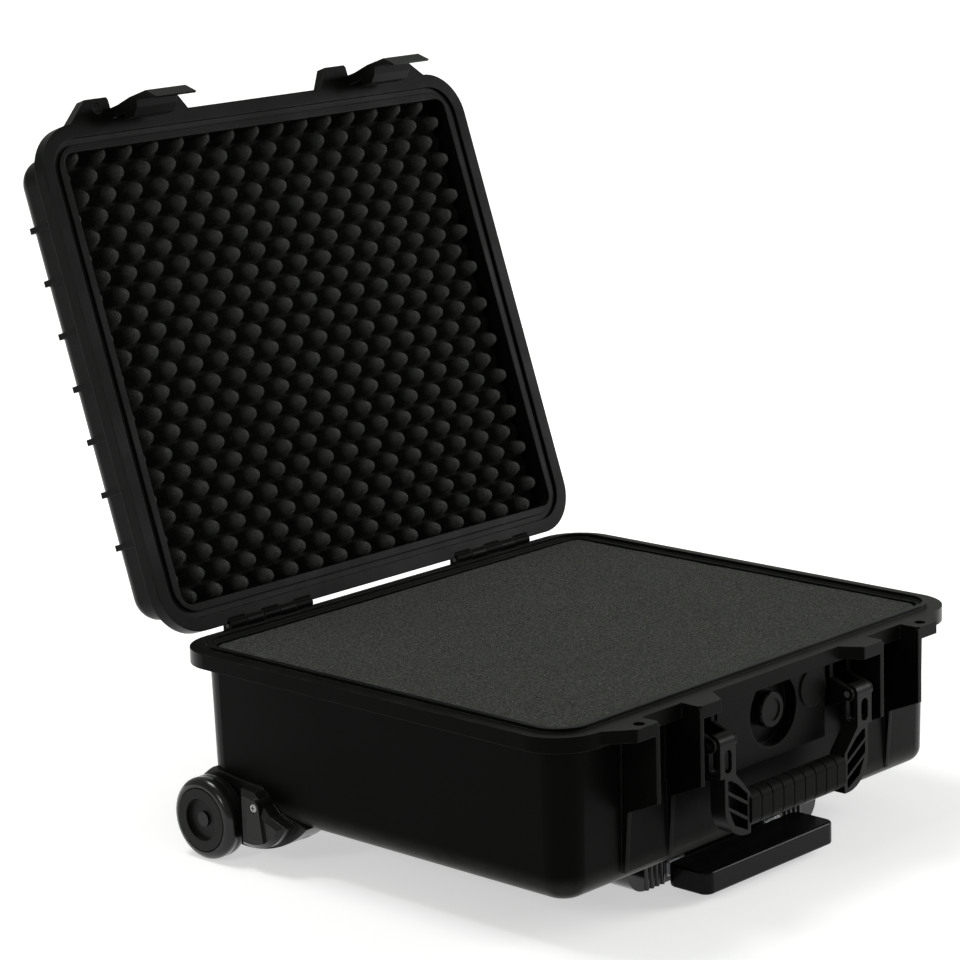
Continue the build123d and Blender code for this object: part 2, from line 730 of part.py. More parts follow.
with BuildPart() as handle_frame:
    with BuildSketch(Plane.XZ.offset(-handle_front_y)):
        with BuildLine():
            corner_x = arm_half - handle_corner_radius
            corner_z = handle_low + handle_corner_radius
            Polyline((0, core_low), (grip_half, core_low), (grip_half, handle_low), (corner_x, handle_low))
            RadiusArc((corner_x, handle_low), (arm_half, corner_z), -handle_corner_radius)
            Polyline(
                (arm_half, corner_z), (arm_half, arm_top), (handle_half, arm_top),
                (handle_half, handle_pivot_z + handle_thickness / 2),
                (handle_box_inner, handle_pivot_z + handle_thickness / 2), (handle_box_inner, arm_top),
                (grip_half, grip_top), (grip_half, core_top), (0, core_top),
            )
            mirror(about=Plane.YZ)
        make_face()
    extrude(amount=-handle_thickness)

    # Side form: round round the pin, with soft lower edges.
    with BuildSketch(Plane.YZ.offset(-handle_half)):
        with Locations((handle_pivot_y, handle_pivot_z)):
            Circle(handle_thickness / 2)
        with Locations((handle_pivot_y, (handle_pivot_z + handle_low) / 2)):
            Rectangle(handle_thickness, handle_pivot_z - handle_low)
    extrude(amount=2 * handle_half, mode=Mode.INTERSECT)

    # Windows in the pivot boxes, from the front and from the side.
    window_z = arm_top + box_sill + box_window_height / 2
    box_x = handle_half - handle_box_width / 2
    with BuildSketch(Plane.XZ.offset(-handle_front_y)):
        with Locations((-box_x, window_z), (box_x, window_z)):
            RectangleRounded(box_window_width, box_window_height, box_window_width / 2 - running_clearance)
    extrude(amount=-handle_thickness, mode=Mode.SUBTRACT)
    with BuildSketch(Plane.YZ.offset(-handle_half)):
        with Locations((handle_pivot_y, window_z)):
            RectangleRounded(box_window_side, box_window_height, box_window_side / 2 - running_clearance)
    extrude(amount=2 * handle_half, mode=Mode.SUBTRACT)

    # Three slanting slots in the front of each arm, held inside the arm's own outline.
    for side in sides:
        with BuildSketch(Plane.XZ.offset(-handle_front_y)):
            with Locations((side * (grip_half + arm_half) / 2, (handle_low + arm_top) / 2)):
                with Locations((0, -arm_slot_pitch), (0, 0), (0, arm_slot_pitch)):
                    Rectangle(handle_half, arm_slot_width, rotation=side * -arm_slot_angle)
            with BuildLine():
                inner_x = side * (grip_half + arm_margin)
                outer_x = side * (arm_half - arm_margin)
                Polyline(
                    (inner_x, handle_low + arm_margin), (side * corner_x, handle_low + arm_margin),
                    (side * (arm_half - handle_corner_radius * 0.29 - arm_margin),
                     handle_low + handle_corner_radius * 0.29 + arm_margin),
                    (outer_x, corner_z), (outer_x, arm_top - arm_margin),
                    (side * (handle_box_inner + arm_margin), arm_top - arm_margin), (inner_x, grip_top),
                    close=True,
                )
            make_face(mode=Mode.INTERSECT)
        extrude(amount=-arm_slot_depth, mode=Mode.SUBTRACT)

    # The thinner core that the grip is moulded round.
    with BuildSketch(Plane.YZ.offset(-grip_half)):
        with Locations((handle_pivot_y, (core_low + core_top) / 2)):
            Rectangle(handle_thickness + 1, grip_core_height + 1)
            Rectangle(grip_core_depth, grip_core_height, mode=Mode.SUBTRACT)
    extrude(amount=2 * grip_half, mode=Mode.SUBTRACT)
    x_bar(-handle_half, handle_half, handle_pivot_y, handle_pivot_z, handle_pin_radius + running_clearance,
          Mode.SUBTRACT)
save(handle_frame.part, "handle_frame")

with BuildPart() as handle_grip:
    grip_z = grip_low + grip_height / 2
    with BuildSketch(Plane.YZ.offset(-grip_half)):
        with Locations((handle_pivot_y, grip_z)):
            RectangleRounded(grip_depth, grip_height, grip_corner)
            Rectangle(grip_core_depth, grip_core_height, mode=Mode.SUBTRACT)
    extrude(amount=2 * grip_half)
    for groove in range(grip_groove_count):
        groove_x = (groove - (grip_groove_count - 1) / 2) * grip_groove_pitch
        with BuildSketch(Plane.YZ.offset(groove_x - grip_groove_width / 2)):
            with Locations((handle_pivot_y, grip_z)):
                RectangleRounded(grip_depth, grip_height, grip_corner)
                RectangleRounded(grip_depth - 2 * grip_groove_depth, grip_height - 2 * grip_groove_depth,
                                 grip_corner - grip_groove_depth, mode=Mode.SUBTRACT)
        extrude(amount=grip_groove_width, mode=Mode.SUBTRACT)
save(handle_grip.part, "handle_grip")

with BuildPart() as handle_pins:
    for side in sides:
        x_bar(side * (handle_box_inner - ear_gap - ear_thickness), side * pin_end,
              handle_pivot_y, handle_pivot_z, handle_pin_radius)
save(handle_pins.part, "handle_pins")

# ---------------------------------------------------------------- wheels and their brackets
wheel_inner = wheel_outer - wheel_width
bracket_face = wheel_inner - wheel_gap

for side, wheel_name in ((-1, "left"), (1, "right")):
    with BuildPart() as bracket:
        # The pod behind the wheel, bellied below and rounded up to the shell's wall.
        with BuildSketch(Plane.YZ.offset(min(side * bracket_inner, side * bracket_face))):
            with BuildLine():
                Polyline((bracket_front, 2), (bracket_front + 29, 10), (bracket_screw_y + 6, 27),
                         (wheel_y - 22, bracket_top - 4), (wheel_y + 8, bracket_top))
                Spline((wheel_y + 8, bracket_top), (wheel_y + 28, wheel_z), (wheel_y, bracket_low + 1),
                       (bracket_screw_y, bracket_low), (bracket_front, 2))
            make_face()
        extrude(amount=bracket_face - bracket_inner)

        # The fairing in front of the wheel, with softened edges.
        fairing_back = wheel_y - wheel_radius - 2 * wheel_gap
        fairing_side = side * (bracket_face + fairing_reach)
        with BuildSketch(Plane.YZ.offset(min(side * (bracket_face - 1), fairing_side))) as fairing:
            with BuildLine():
                Polyline((bracket_front + 12, 3), (bracket_front + 29, 9), (bracket_screw_y + 4, 25),
                         (fairing_back, 26), (fairing_back, bracket_low + 3))
                Spline((fairing_back, bracket_low + 3), (bracket_screw_y - 8, bracket_low + 5),
                       (bracket_front + 12, 3))
            make_face()
        extrude(amount=fairing_reach + 1)
        fairing_face = bracket.faces().sort_by(Axis.X)[-1 if side > 0 else 0]
        chamfer(fairing_face.edges(), fairing_edge)

        # A web from the side screw down to the belly.
        x_slab(side * bracket_face, fairing_side + side * web_proud, [
            (bracket_screw_y - web_top, bracket_screw_z), (bracket_screw_y + web_top, bracket_screw_z),
            (bracket_screw_y + web_foot / 2, bracket_low + web_foot / 2),
            (bracket_screw_y - web_foot / 2, bracket_low + web_foot / 2),
        ])
        x_bar(side * bracket_face, fairing_side + side * web_proud, bracket_screw_y, bracket_screw_z,
              web_top)
        add(base_form.part, mode=Mode.SUBTRACT)
        x_bar(side * axle_inner, side * bracket_face, wheel_y, wheel_z, axle_radius, Mode.SUBTRACT)
        x_bar(side * axle_inner, side * case_width / 2, bracket_screw_y, bracket_screw_z, screw_radius,
              Mode.SUBTRACT)
        x_bar(fairing_side + side * (web_proud - screw_head_height), side * case_width,
              bracket_screw_y, bracket_screw_z, screw_head_radius, Mode.SUBTRACT)
        z_bars(bracket_screw_spots, bracket_low, 0, screw_radius, Mode.SUBTRACT)
        z_bars(bracket_screw_spots, bracket_low, -screw_grip, screw_head_radius, Mode.SUBTRACT)
    save(bracket.part, "wheel_bracket_" + wheel_name)

    with BuildPart() as axle:
        head_from = wheel_outer - hub_dish_depth + axle_play
        head_to = head_from + axle_head_thickness
        x_bar(side * axle_inner, side * head_to, wheel_y, wheel_z, axle_radius)
        x_bar(side * head_from, side * head_to, wheel_y, wheel_z, axle_head_radius)
    save(axle.part, "wheel_axle_" + wheel_name)

    with BuildPart() as hub:
        hub_radius_outer = wheel_radius - tyre_thickness
        x_bar(side * wheel_inner, side * wheel_outer, wheel_y, wheel_z, hub_radius_outer)
        x_bar(side * (wheel_outer - hub_dish_depth), side * wheel_outer, wheel_y, wheel_z, hub_dish_radius,
              Mode.SUBTRACT)
        x_bar(side * wheel_inner, side * wheel_outer, wheel_y, wheel_z, axle_radius + running_clearance,
              Mode.SUBTRACT)
    save(hub.part, "wheel_hub_" + wheel_name)

    with BuildPart() as tyre:
        x_bar(side * wheel_inner, side * wheel_outer, wheel_y, wheel_z, wheel_radius)
        chamfer(tyre.edges().filter_by(GeomType.CIRCLE), tyre_shoulder / 2, tyre_shoulder)
        x_bar(side * wheel_inner, side * wheel_outer, wheel_y, wheel_z, hub_radius_outer, Mode.SUBTRACT)
    save(tyre.part, "wheel_tyre_" + wheel_name)

# ---------------------------------------------------------------- trolley
def tube_section(shrink):
    """Width, height and corner radius of a tube set inside the outer one, per side shrink."""
    corner = max(tube_corner - shrink, tube_wall / 2)
    return outer_tube_width - 2 * shrink, outer_tube_height - 2 * shrink, corner


def tube_bars(front, length, shrink, mode=Mode.ADD):
    """Two bars along Y with a tube's outside form."""
    with BuildSketch(Plane.XZ.offset(-front)) as section:
        with Locations((-tube_offset, tube_z), (tube_offset, tube_z)):
            RectangleRounded(*tube_section(shrink))
    extrude(section.sketch, amount=-length, mode=mode)


stage_shrink = tube_wall + tube_clearance
middle_tube_length = outer_tube_length - middle_tube_setback
inner_tube_length = middle_tube_length - inner_tube_setback
middle_tube_front = guide_front
inner_tube_front = grip_bar_back - grip_bar_seat

with BuildPart() as trolley_outer_tubes:
    tube_bars(outer_tube_front, outer_tube_length, 0)
    tube_bars(outer_tube_front, outer_tube_length, tube_wall, Mode.SUBTRACT)
save(trolley_outer_tubes.part, "trolley_outer_tubes")

with BuildPart() as trolley_middle_tubes:
    tube_bars(middle_tube_front, middle_tube_length, stage_shrink)
    tube_bars(middle_tube_front, middle_tube_length, stage_shrink + tube_wall, Mode.SUBTRACT)
save(trolley_middle_tubes.part, "trolley_middle_tubes")

with BuildPart() as trolley_inner_tubes:
    tube_bars(inner_tube_front, inner_tube_length, 2 * stage_shrink)
    tube_bars(inner_tube_front, inner_tube_length, 2 * stage_shrink + tube_wall, Mode.SUBTRACT)
save(trolley_inner_tubes.part, "trolley_inner_tubes")

# The block that guides the tubes, round and ribbed at both ends, with rails back to two feet.
foot_bottom = floor_z + pad_thickness
guide_back = guide_front + guide_depth
foot_spots = [(side * foot_offset, foot_y) for side in sides]
rail_spots = [(side * foot_offset, (guide_back + foot_y) / 2) for side in sides]

with BuildPart() as trolley_guide:
    with BuildSketch(Plane.XZ.offset(-guide_front)):
        with BuildLine():
            flat_half = guide_half - guide_corner
            corner_top = guide_bottom + guide_corner
            Line((0, guide_bottom), (flat_half, guide_bottom))
            RadiusArc((flat_half, guide_bottom), (guide_half, corner_top), -guide_corner)
            Polyline((guide_half, corner_top), (guide_half, 0), (0, 0))
            mirror(about=Plane.YZ)
        make_face()
    extrude(amount=-guide_depth)
    z_bars([(side * x, guide_front) for side in sides for x in guide_ribs], guide_bottom, 0,
           guide_rib_radius)
    with BuildSketch(Plane.XY.offset(-foot_rail_height)):
        with Locations(*rail_spots):
            Rectangle(foot_width, foot_y - guide_back)
    extrude(amount=foot_rail_height)
    with BuildSketch(Plane.XY.offset(foot_bottom)):
        with Locations(*foot_spots):
            RectangleRounded(foot_width, foot_length, foot_round)
    extrude(amount=-foot_bottom)
    tube_bars(outer_tube_front, outer_tube_length, 0, Mode.SUBTRACT)
    tube_bars(guide_front, outer_tube_length, stage_shrink - tube_clearance, Mode.SUBTRACT)
    z_bars(guide_screw_spots, foot_bottom, 0, screw_radius, Mode.SUBTRACT)
    z_bars(guide_screw_spots, foot_bottom, -screw_grip, screw_head_radius, Mode.SUBTRACT)
save(trolley_guide.part, "trolley_guide")

with BuildPart() as foot_pads:
    with BuildSketch(Plane.XY.offset(floor_z)):
        with Locations(*foot_spots):
            RectangleRounded(foot_width - 2 * pad_margin, foot_length - 2 * pad_margin,
                             foot_round - pad_margin)
    extrude(amount=pad_thickness)
save(foot_pads.part, "foot_pads")

with BuildPart() as trolley_anchor:
    with BuildSketch(Plane.XY.offset(guide_bottom)):
        with Locations((0, anchor_y + anchor_depth / 2)):
            RectangleRounded(2 * anchor_half, anchor_depth, anchor_corner)
    extrude(amount=-guide_bottom)
    tube_bars(outer_tube_front, outer_tube_length, 0, Mode.SUBTRACT)
    z_bars(anchor_screw_spots, guide_bottom, 0, screw_radius, Mode.SUBTRACT)
    z_bars(anchor_screw_spots, guide_bottom, -screw_grip, screw_head_radius, Mode.SUBTRACT)
save(trolley_anchor.part, "trolley_anchor")

# The pull bar, socketed for the inner tubes, with the release button in its underside.
bar_y = grip_bar_front + grip_bar_depth / 2
bar_bottom = grip_bar_top - grip_bar_height

with BuildPart() as trolley_grip:
    with BuildSketch(Plane.XY.offset(bar_bottom)):
        with Locations((0, bar_y)):
            RectangleRounded(grip_bar_length, grip_bar_depth, grip_bar_corner)
    extrude(amount=grip_bar_height)
    fillet(trolley_grip.faces().filter_by(Axis.Z).edges(), grip_bar_edge)
    tube_bars(inner_tube_front, inner_tube_length, 2 * stage_shrink, Mode.SUBTRACT)
    with BuildSketch(Plane.XY.offset(bar_bottom)):
        with Locations((0, bar_y)):
            RectangleRounded(button_length + 2 * button_gap, button_width + 2 * button_gap,
                             button_corner + button_gap)
    extrude(amount=button_seat, mode=Mode.SUBTRACT)
save(trolley_grip.part, "trolley_grip")

with BuildPart() as trolley_button:
    with BuildSketch(Plane.XY.offset(bar_bottom - button_proud)):
        with Locations((0, bar_y)):
            RectangleRounded(button_length, button_width, button_corner)
    extrude(amount=button_seat - button_gap)
    fillet(trolley_button.faces().sort_by(Axis.Z)[0].edges(), 1)
save(trolley_button.part, "trolley_button")

# ---------------------------------------------------------------- screws
with BuildPart() as mounting_screws:
    z_bars(screw_spots, -screw_grip, floor_thickness - 1, screw_radius)
    z_bars(screw_spots, -screw_grip - screw_head_height, -screw_grip, screw_head_radius)
    for side in sides:
        head_x = bracket_face + fairing_reach + web_proud
        x_bar(side * (cavity_size(0)[0] / 2 + 1), side * head_x, bracket_screw_y, bracket_screw_z,
              screw_radius)
        x_bar(side * (head_x - screw_head_height), side * head_x, bracket_screw_y, bracket_screw_z,
              screw_head_radius)
save(mounting_screws.part, "mounting_screws")
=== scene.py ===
from math import cos, hypot, pi, radians, sin

import bmesh
import bpy
from mathutils import Matrix, Vector


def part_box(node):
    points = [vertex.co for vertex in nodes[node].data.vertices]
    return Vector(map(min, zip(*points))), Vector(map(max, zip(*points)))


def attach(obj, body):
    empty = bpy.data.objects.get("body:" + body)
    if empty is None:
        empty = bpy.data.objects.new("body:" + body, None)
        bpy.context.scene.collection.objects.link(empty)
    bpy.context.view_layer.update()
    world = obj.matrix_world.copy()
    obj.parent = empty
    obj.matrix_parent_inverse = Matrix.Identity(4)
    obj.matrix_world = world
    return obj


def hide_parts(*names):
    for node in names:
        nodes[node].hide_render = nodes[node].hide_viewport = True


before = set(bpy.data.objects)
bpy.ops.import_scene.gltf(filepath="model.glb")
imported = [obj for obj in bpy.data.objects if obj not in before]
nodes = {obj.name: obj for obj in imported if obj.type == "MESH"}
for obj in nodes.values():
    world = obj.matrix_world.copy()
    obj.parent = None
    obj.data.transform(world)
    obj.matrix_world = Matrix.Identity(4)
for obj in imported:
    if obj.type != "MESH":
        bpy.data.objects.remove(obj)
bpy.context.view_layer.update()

# ---------------------------------------------------------------- camera
# A long lens from the left and a little above, which leans a touch to one side. Its place, its
# heading and its lean are given in the case's own frame.

eye = Vector((-1.8716, -1.6915, 0.8276))
heading = radians(46.372)
downward = radians(12.959)
lean = radians(-1.788)
lens_mm = 124.61
sensor_mm = 36

forward = Vector((sin(heading) * cos(downward), cos(heading) * cos(downward), -sin(downward)))
level_right = Vector((cos(heading), -sin(heading), 0))
level_up = level_right.cross(forward)
right = cos(lean) * level_right + sin(lean) * level_up
up = cos(lean) * level_up - sin(lean) * level_right

camera = bpy.data.objects.new("camera", bpy.data.cameras.new("camera"))
camera.data.lens = lens_mm
camera.data.sensor_width = sensor_mm
camera.matrix_world = Matrix((
    (right.x, up.x, -forward.x, eye.x),
    (right.y, up.y, -forward.y, eye.y),
    (right.z, up.z, -forward.z, eye.z),
    (0, 0, 0, 1),
))
bpy.context.scene.collection.objects.link(camera)
bpy.context.scene.camera = camera
bpy.context.scene.view_settings.view_transform = "Standard"

# ---------------------------------------------------------------- table and light
# A white table that fills the view, a plain pale room, one large soft lamp overhead and two
# weaker ones at the sides. The table shows white to the camera and in gloss, and keeps shadows.


def add_node(tree, kind, inputs=None, **settings):
    """One node of a shader or geometry tree, with its settings and its unlinked inputs."""
    made = tree.nodes.new(kind)
    for key, value in settings.items():
        setattr(made, key, value)
    for key, value in (inputs or {}).items():
        made.inputs[key].default_value = value
    return made


def feed(tree, socket, given):
    """Link a socket to what is given, or set it there if that is a plain value."""
    if isinstance(given, bpy.types.NodeSocket):
        tree.links.new(given, socket)
    else:
        socket.default_value = given


def calc(tree, kind, *terms, **settings):
    """The result of one sum; each term is a socket or a number."""
    step = add_node(tree, "ShaderNodeMath", operation=kind, **settings)
    for socket, term in zip(step.inputs, terms):
        feed(tree, socket, term)
    return step.outputs[0]


def spread(tree, value, start, end, low=0.0, high=1.0, **settings):
    """A value that goes from low to high while the given one goes from start to end."""
    made = add_node(tree, "ShaderNodeMapRange", **settings)
    ends = {"Value": value, "From Min": start, "From Max": end, "To Min": low, "To Max": high}
    for label, given in ends.items():
        feed(tree, made.inputs[label], given)
    return made.outputs["Result"]


def new_material(name):
    """An empty node material, its tree and its output."""
    made = bpy.data.materials.new(name)
    made.use_nodes = True
    made.node_tree.nodes.clear()
    return made, made.node_tree, made.node_tree.nodes.new("ShaderNodeOutputMaterial")


table_half = 40.0
table_top = -0.037
table_white = (0.72, 0.72, 0.72, 1)
near_glow = 0.52
far_glow = 1.0
near_reach = 0.4
far_reach = 1.6
room_colour = (0.96, 1.0, 0.90, 1)
room_strength = 0.29

table_corners = [(x * table_half, y * table_half, table_top)
                 for x, y in ((-1, -1), (1, -1), (1, 1), (-1, 1))]
table_mesh = bpy.data.meshes.new("table")
table_mesh.from_pydata(table_corners, [], [(0, 1, 2, 3)])
table = bpy.data.objects.new("table", table_mesh)
bpy.context.scene.collection.objects.link(table)

table_paint, tree, output = new_material("table_white")
paint = add_node(tree, "ShaderNodeBsdfDiffuse", {"Color": table_white})
glow = add_node(tree, "ShaderNodeEmission", {"Color": (1, 1, 1, 1)})
shown = add_node(tree, "ShaderNodeAddShader")
choice = add_node(tree, "ShaderNodeMixShader")
spot = add_node(tree, "ShaderNodeTexCoord")
distance = add_node(tree, "ShaderNodeVectorMath", operation="LENGTH")
tree.links.new(spot.outputs["Object"], distance.inputs[0])
brighter = spread(tree, distance.outputs["Value"], near_reach, far_reach, near_glow, far_glow)
seen = add_node(tree, "ShaderNodeLightPath")
direct = calc(tree, "MAXIMUM", seen.outputs["Is Camera Ray"], seen.outputs["Is Glossy Ray"])
any_sight = calc(tree, "MAXIMUM", direct, seen.outputs["Is Transmission Ray"])
tree.links.new(brighter, glow.inputs["Strength"])
tree.links.new(paint.outputs[0], shown.inputs[0])
tree.links.new(glow.outputs[0], shown.inputs[1])
tree.links.new(any_sight, choice.inputs[0])
tree.links.new(paint.outputs[0], choice.inputs[1])
tree.links.new(shown.outputs[0], choice.inputs[2])
tree.links.new(choice.outputs[0], output.inputs["Surface"])
table_mesh.materials.append(table_paint)

room = bpy.data.worlds.new("pale_room")
room.use_nodes = True
room.node_tree.nodes["Background"].inputs["Color"].default_value = room_colour
room.node_tree.nodes["Background"].inputs["Strength"].default_value = room_strength
bpy.context.scene.world = room


def soft_lamp(name, place, aim, side, watts):
    """A square soft lamp of that side, in metres, turned to a point."""
    lamp = bpy.data.objects.new(name, bpy.data.lights.new(name, "AREA"))
    lamp.data.shape = "SQUARE"
    lamp.data.size = side
    lamp.data.energy = watts
    lamp.location = place
    lamp.rotation_euler = (Vector(place) - Vector(aim)).to_track_quat("Z", "Y").to_euler()
    bpy.context.scene.collection.objects.link(lamp)


soft_lamp("overhead_lamp", place=(-0.5, 0.9, 2.5), aim=(0, 0, 0.1), side=0.9, watts=32)
soft_lamp("left_lamp", place=(-2.7, -0.2, 1.3), aim=(0, 0, 0.15), side=0.5, watts=13)
soft_lamp("front_lamp", place=(1.85, -1.4, 0.95), aim=(0, 0.25, 0.35), side=0.9, watts=30)

# ---------------------------------------------------------------- base shell
# One injection moulding in black polypropylene with a fine spark-eroded skin. Its walls are plain
# and drafted, and the rim, latch guards, valve panel, handle ears and hinge knuckles are one with it.

# A Mix node names its number, vector and colour sockets alike, so its colours go by place.
mix_share = 0
mix_first = 6
mix_second = 7
mix_result = 2


def colour_mix(tree, share, first, second):
    """A colour between the first and the second, by a share; each is a socket or three levels."""
    mix = add_node(tree, "ShaderNodeMix", data_type="RGBA")
    tree.links.new(share, mix.inputs[mix_share])
    for place, given in ((mix_first, first), (mix_second, second)):
        if isinstance(given, bpy.types.NodeSocket):
            tree.links.new(given, mix.inputs[place])
        else:
            mix.inputs[place].default_value = (*given, 1)
    return mix.outputs[mix_result]


def own_noise(tree, scale, detail, roughness=0.5):
    """Noise fixed to the piece itself; the scale is a socket or a number per metre."""
    place = add_node(tree, "ShaderNodeTexCoord")
    noise = add_node(tree, "ShaderNodeTexNoise", {"Detail": detail, "Roughness": roughness})
    tree.links.new(place.outputs["Object"], noise.inputs["Vector"])
    feed(tree, noise.inputs["Scale"], scale)
    return noise.outputs["Fac"]


def new_group(name, numbers, results):
    """A shader group with number inputs and typed results, and its input and output nodes."""
    group = bpy.data.node_groups.new(name, "ShaderNodeTree")
    for label, value in numbers.items():
        socket = group.interface.new_socket(label, in_out="INPUT", socket_type="NodeSocketFloat")
        socket.default_value = value
    for label, kind in results.items():
        group.interface.new_socket(label, in_out="OUTPUT", socket_type="NodeSocket" + kind)
    return group, group.nodes.new("NodeGroupInput"), group.nodes.new("NodeGroupOutput")


def mould_grain_group():
    """The pebbled skin of a moulding and its slow mottling, from the piece's own coordinates."""
    group, given, result = new_group("mould_grain", {"Grain Size": 0.0008},
                                     {"Height": "Float", "Mottle": "Float"})
    pebbles_per_metre = calc(group, "DIVIDE", 1.0, given.outputs["Grain Size"])
    pebbles = own_noise(group, pebbles_per_metre, detail=2.5, roughness=0.55)
    clouds = own_noise(group, scale=17.0, detail=3.0, roughness=0.6)
    group.links.new(pebbles, result.inputs["Height"])
    group.links.new(clouds, result.inputs["Mottle"])
    return group


def edge_wear_and_highlight_group():
    """Where corners are rubbed and carry a painted highlight: the turn of the surface within a short reach,
    broken up by noise.
    """
    group, given, result = new_group("edge_wear_and_highlight", {"Reach": 0.0006, "Amount": 1.0},
                                     {"Wear And Highlight": "Float", "Soft Edges": "Vector"})
    rounded = add_node(group, "ShaderNodeBevel", samples=6)
    plain = add_node(group, "ShaderNodeNewGeometry")
    same = add_node(group, "ShaderNodeVectorMath", operation="DOT_PRODUCT")
    group.links.new(given.outputs["Reach"], rounded.inputs["Radius"])
    group.links.new(rounded.outputs["Normal"], same.inputs[0])
    group.links.new(plain.outputs["Normal"], same.inputs[1])
    turn = spread(group, same.outputs["Value"], start=0.96, end=0.80)
    scuffs = own_noise(group, scale=90.0, detail=4.0, roughness=0.7)
    broken = spread(group, scuffs, start=0.38, end=0.68, low=0.25)
    both = calc(group, "MULTIPLY", turn, broken)
    scaled = calc(group, "MULTIPLY", both, given.outputs["Amount"], use_clamp=True)
    group.links.new(scaled, result.inputs["Wear And Highlight"])
    group.links.new(rounded.outputs["Normal"], result.inputs["Soft Edges"])
    return group


def settled_dust_group():
    """Fine dust on what faces up, thicker in drifts and specked."""
    group, given, result = new_group("settled_dust", {"Amount": 0.1}, {"Dust": "Float"})
    lie = add_node(group, "ShaderNodeNewGeometry")
    parts = add_node(group, "ShaderNodeSeparateXYZ")
    group.links.new(lie.outputs["Normal"], parts.inputs[0])
    upward = spread(group, parts.outputs["Z"], start=0.2, end=0.95)
    drifts = own_noise(group, scale=26.0, detail=6.0, roughness=0.72)
    drift_mask = spread(group, drifts, start=0.42, end=0.72, low=0.15)
    specks = own_noise(group, scale=700.0, detail=1.0)
    speck_mask = spread(group, specks, start=0.45, end=0.75, low=0.3)
    drifted = calc(group, "MULTIPLY", upward, drift_mask)
    specked = calc(group, "MULTIPLY", drifted, speck_mask)
    dust = calc(group, "MULTIPLY", specked, given.outputs["Amount"], use_clamp=True)
    group.links.new(dust, result.inputs["Dust"])
    return group


mould_grain = mould_grain_group()
edge_wear_and_highlight = edge_wear_and_highlight_group()
settled_dust = settled_dust_group()
dust_colour = (0.16, 0.155, 0.145)
dust_dulling = 0.5
mottle_dark = 0.8
mottle_light = 1.25
shine_begins = 0.35
shine_is_full = 0.85
shine_roughness = 0.85


def moulded(name, colour, worn_and_highlight, roughness, grain_size, grain_depth, wear_and_highlight=0.5, wear_reach=0.0006,
            dust=0.08, gloss=0.5, unevenness=0.06, glancing=1.0):
    """A moulded plastic or rubber: its own colour with mottling, corners paler for rubbing and a painted
    highlight, dust and grain.

    Its skin is dull face on, and shines only where it is seen at a glancing angle.
    """
    made, tree, output = new_material(name)
    surface = add_node(tree, "ShaderNodeBsdfPrincipled",
                       {"Specular IOR Level": gloss, "Coat Roughness": roughness * shine_roughness})
    turned_away = add_node(tree, "ShaderNodeLayerWeight", {"Blend": 0.5})
    skin_shine = spread(tree, turned_away.outputs["Facing"], shine_begins, shine_is_full, high=glancing)
    tree.links.new(skin_shine, surface.inputs["Coat Weight"])

    skin = add_node(tree, "ShaderNodeGroup", node_tree=mould_grain)
    skin.inputs["Grain Size"].default_value = grain_size
    rubbed_and_highlight = add_node(tree, "ShaderNodeGroup", node_tree=edge_wear_and_highlight)
    rubbed_and_highlight.inputs["Reach"].default_value = wear_reach
    rubbed_and_highlight.inputs["Amount"].default_value = wear_and_highlight
    dusty = add_node(tree, "ShaderNodeGroup", node_tree=settled_dust)
    dusty.inputs["Amount"].default_value = dust

    darker = [level * mottle_dark for level in colour]
    lighter = [level * mottle_light for level in colour]
    mottled = colour_mix(tree, skin.outputs["Mottle"], darker, lighter)
    with_wear_and_highlight = colour_mix(tree, rubbed_and_highlight.outputs["Wear And Highlight"], mottled, worn_and_highlight)
    with_dust = colour_mix(tree, dusty.outputs["Dust"], with_wear_and_highlight, dust_colour)
    tree.links.new(with_dust, surface.inputs["Base Color"])

    sheen = spread(tree, skin.outputs["Mottle"], start=0.3, end=0.7,
                   low=roughness - unevenness, high=roughness + unevenness)
    dulled = calc(tree, "MULTIPLY_ADD", dusty.outputs["Dust"], dust_dulling, sheen, use_clamp=True)
    tree.links.new(dulled, surface.inputs["Roughness"])

    relief = add_node(tree, "ShaderNodeBump", {"Strength": 1.0, "Distance": grain_depth})
    tree.links.new(skin.outputs["Height"], relief.inputs["Height"])
    tree.links.new(rubbed_and_highlight.outputs["Soft Edges"], relief.inputs["Normal"])
    tree.links.new(relief.outputs["Normal"], surface.inputs["Normal"])
    tree.links.new(surface.outputs[0], output.inputs["Surface"])
    return made


def repaint(material, share, colour):
    """Lay a colour over a material's own, by a share made in its tree."""
    tree = material.node_tree
    socket = tree.nodes["Principled BSDF"].inputs["Base Color"]
    unpainted = socket.links[0].from_socket
    tree.links.new(colour_mix(tree, share, unpainted, colour), socket)


def dress(finish, *names):
    """Give CAD nodes a finish."""
    for name in names:
        nodes[name].data.materials.clear()
        nodes[name].data.materials.append(finish)


shell_black = (0.0021, 0.0027, 0.0018)
# The shells' pale edge colour is partly rubbed wear and partly a painted highlight along the rims.
shell_edge_wear_and_highlight = (0.070, 0.072, 0.067)
base_plastic = moulded("base_polypropylene", colour=shell_black, worn_and_highlight=shell_edge_wear_and_highlight, roughness=0.42,
                       grain_size=0.0007, grain_depth=0.00005, wear_and_highlight=0.6, wear_reach=0.0014,
                       dust=0.08, gloss=0.028, glancing=0.7)
dress(base_plastic, "base_shell")

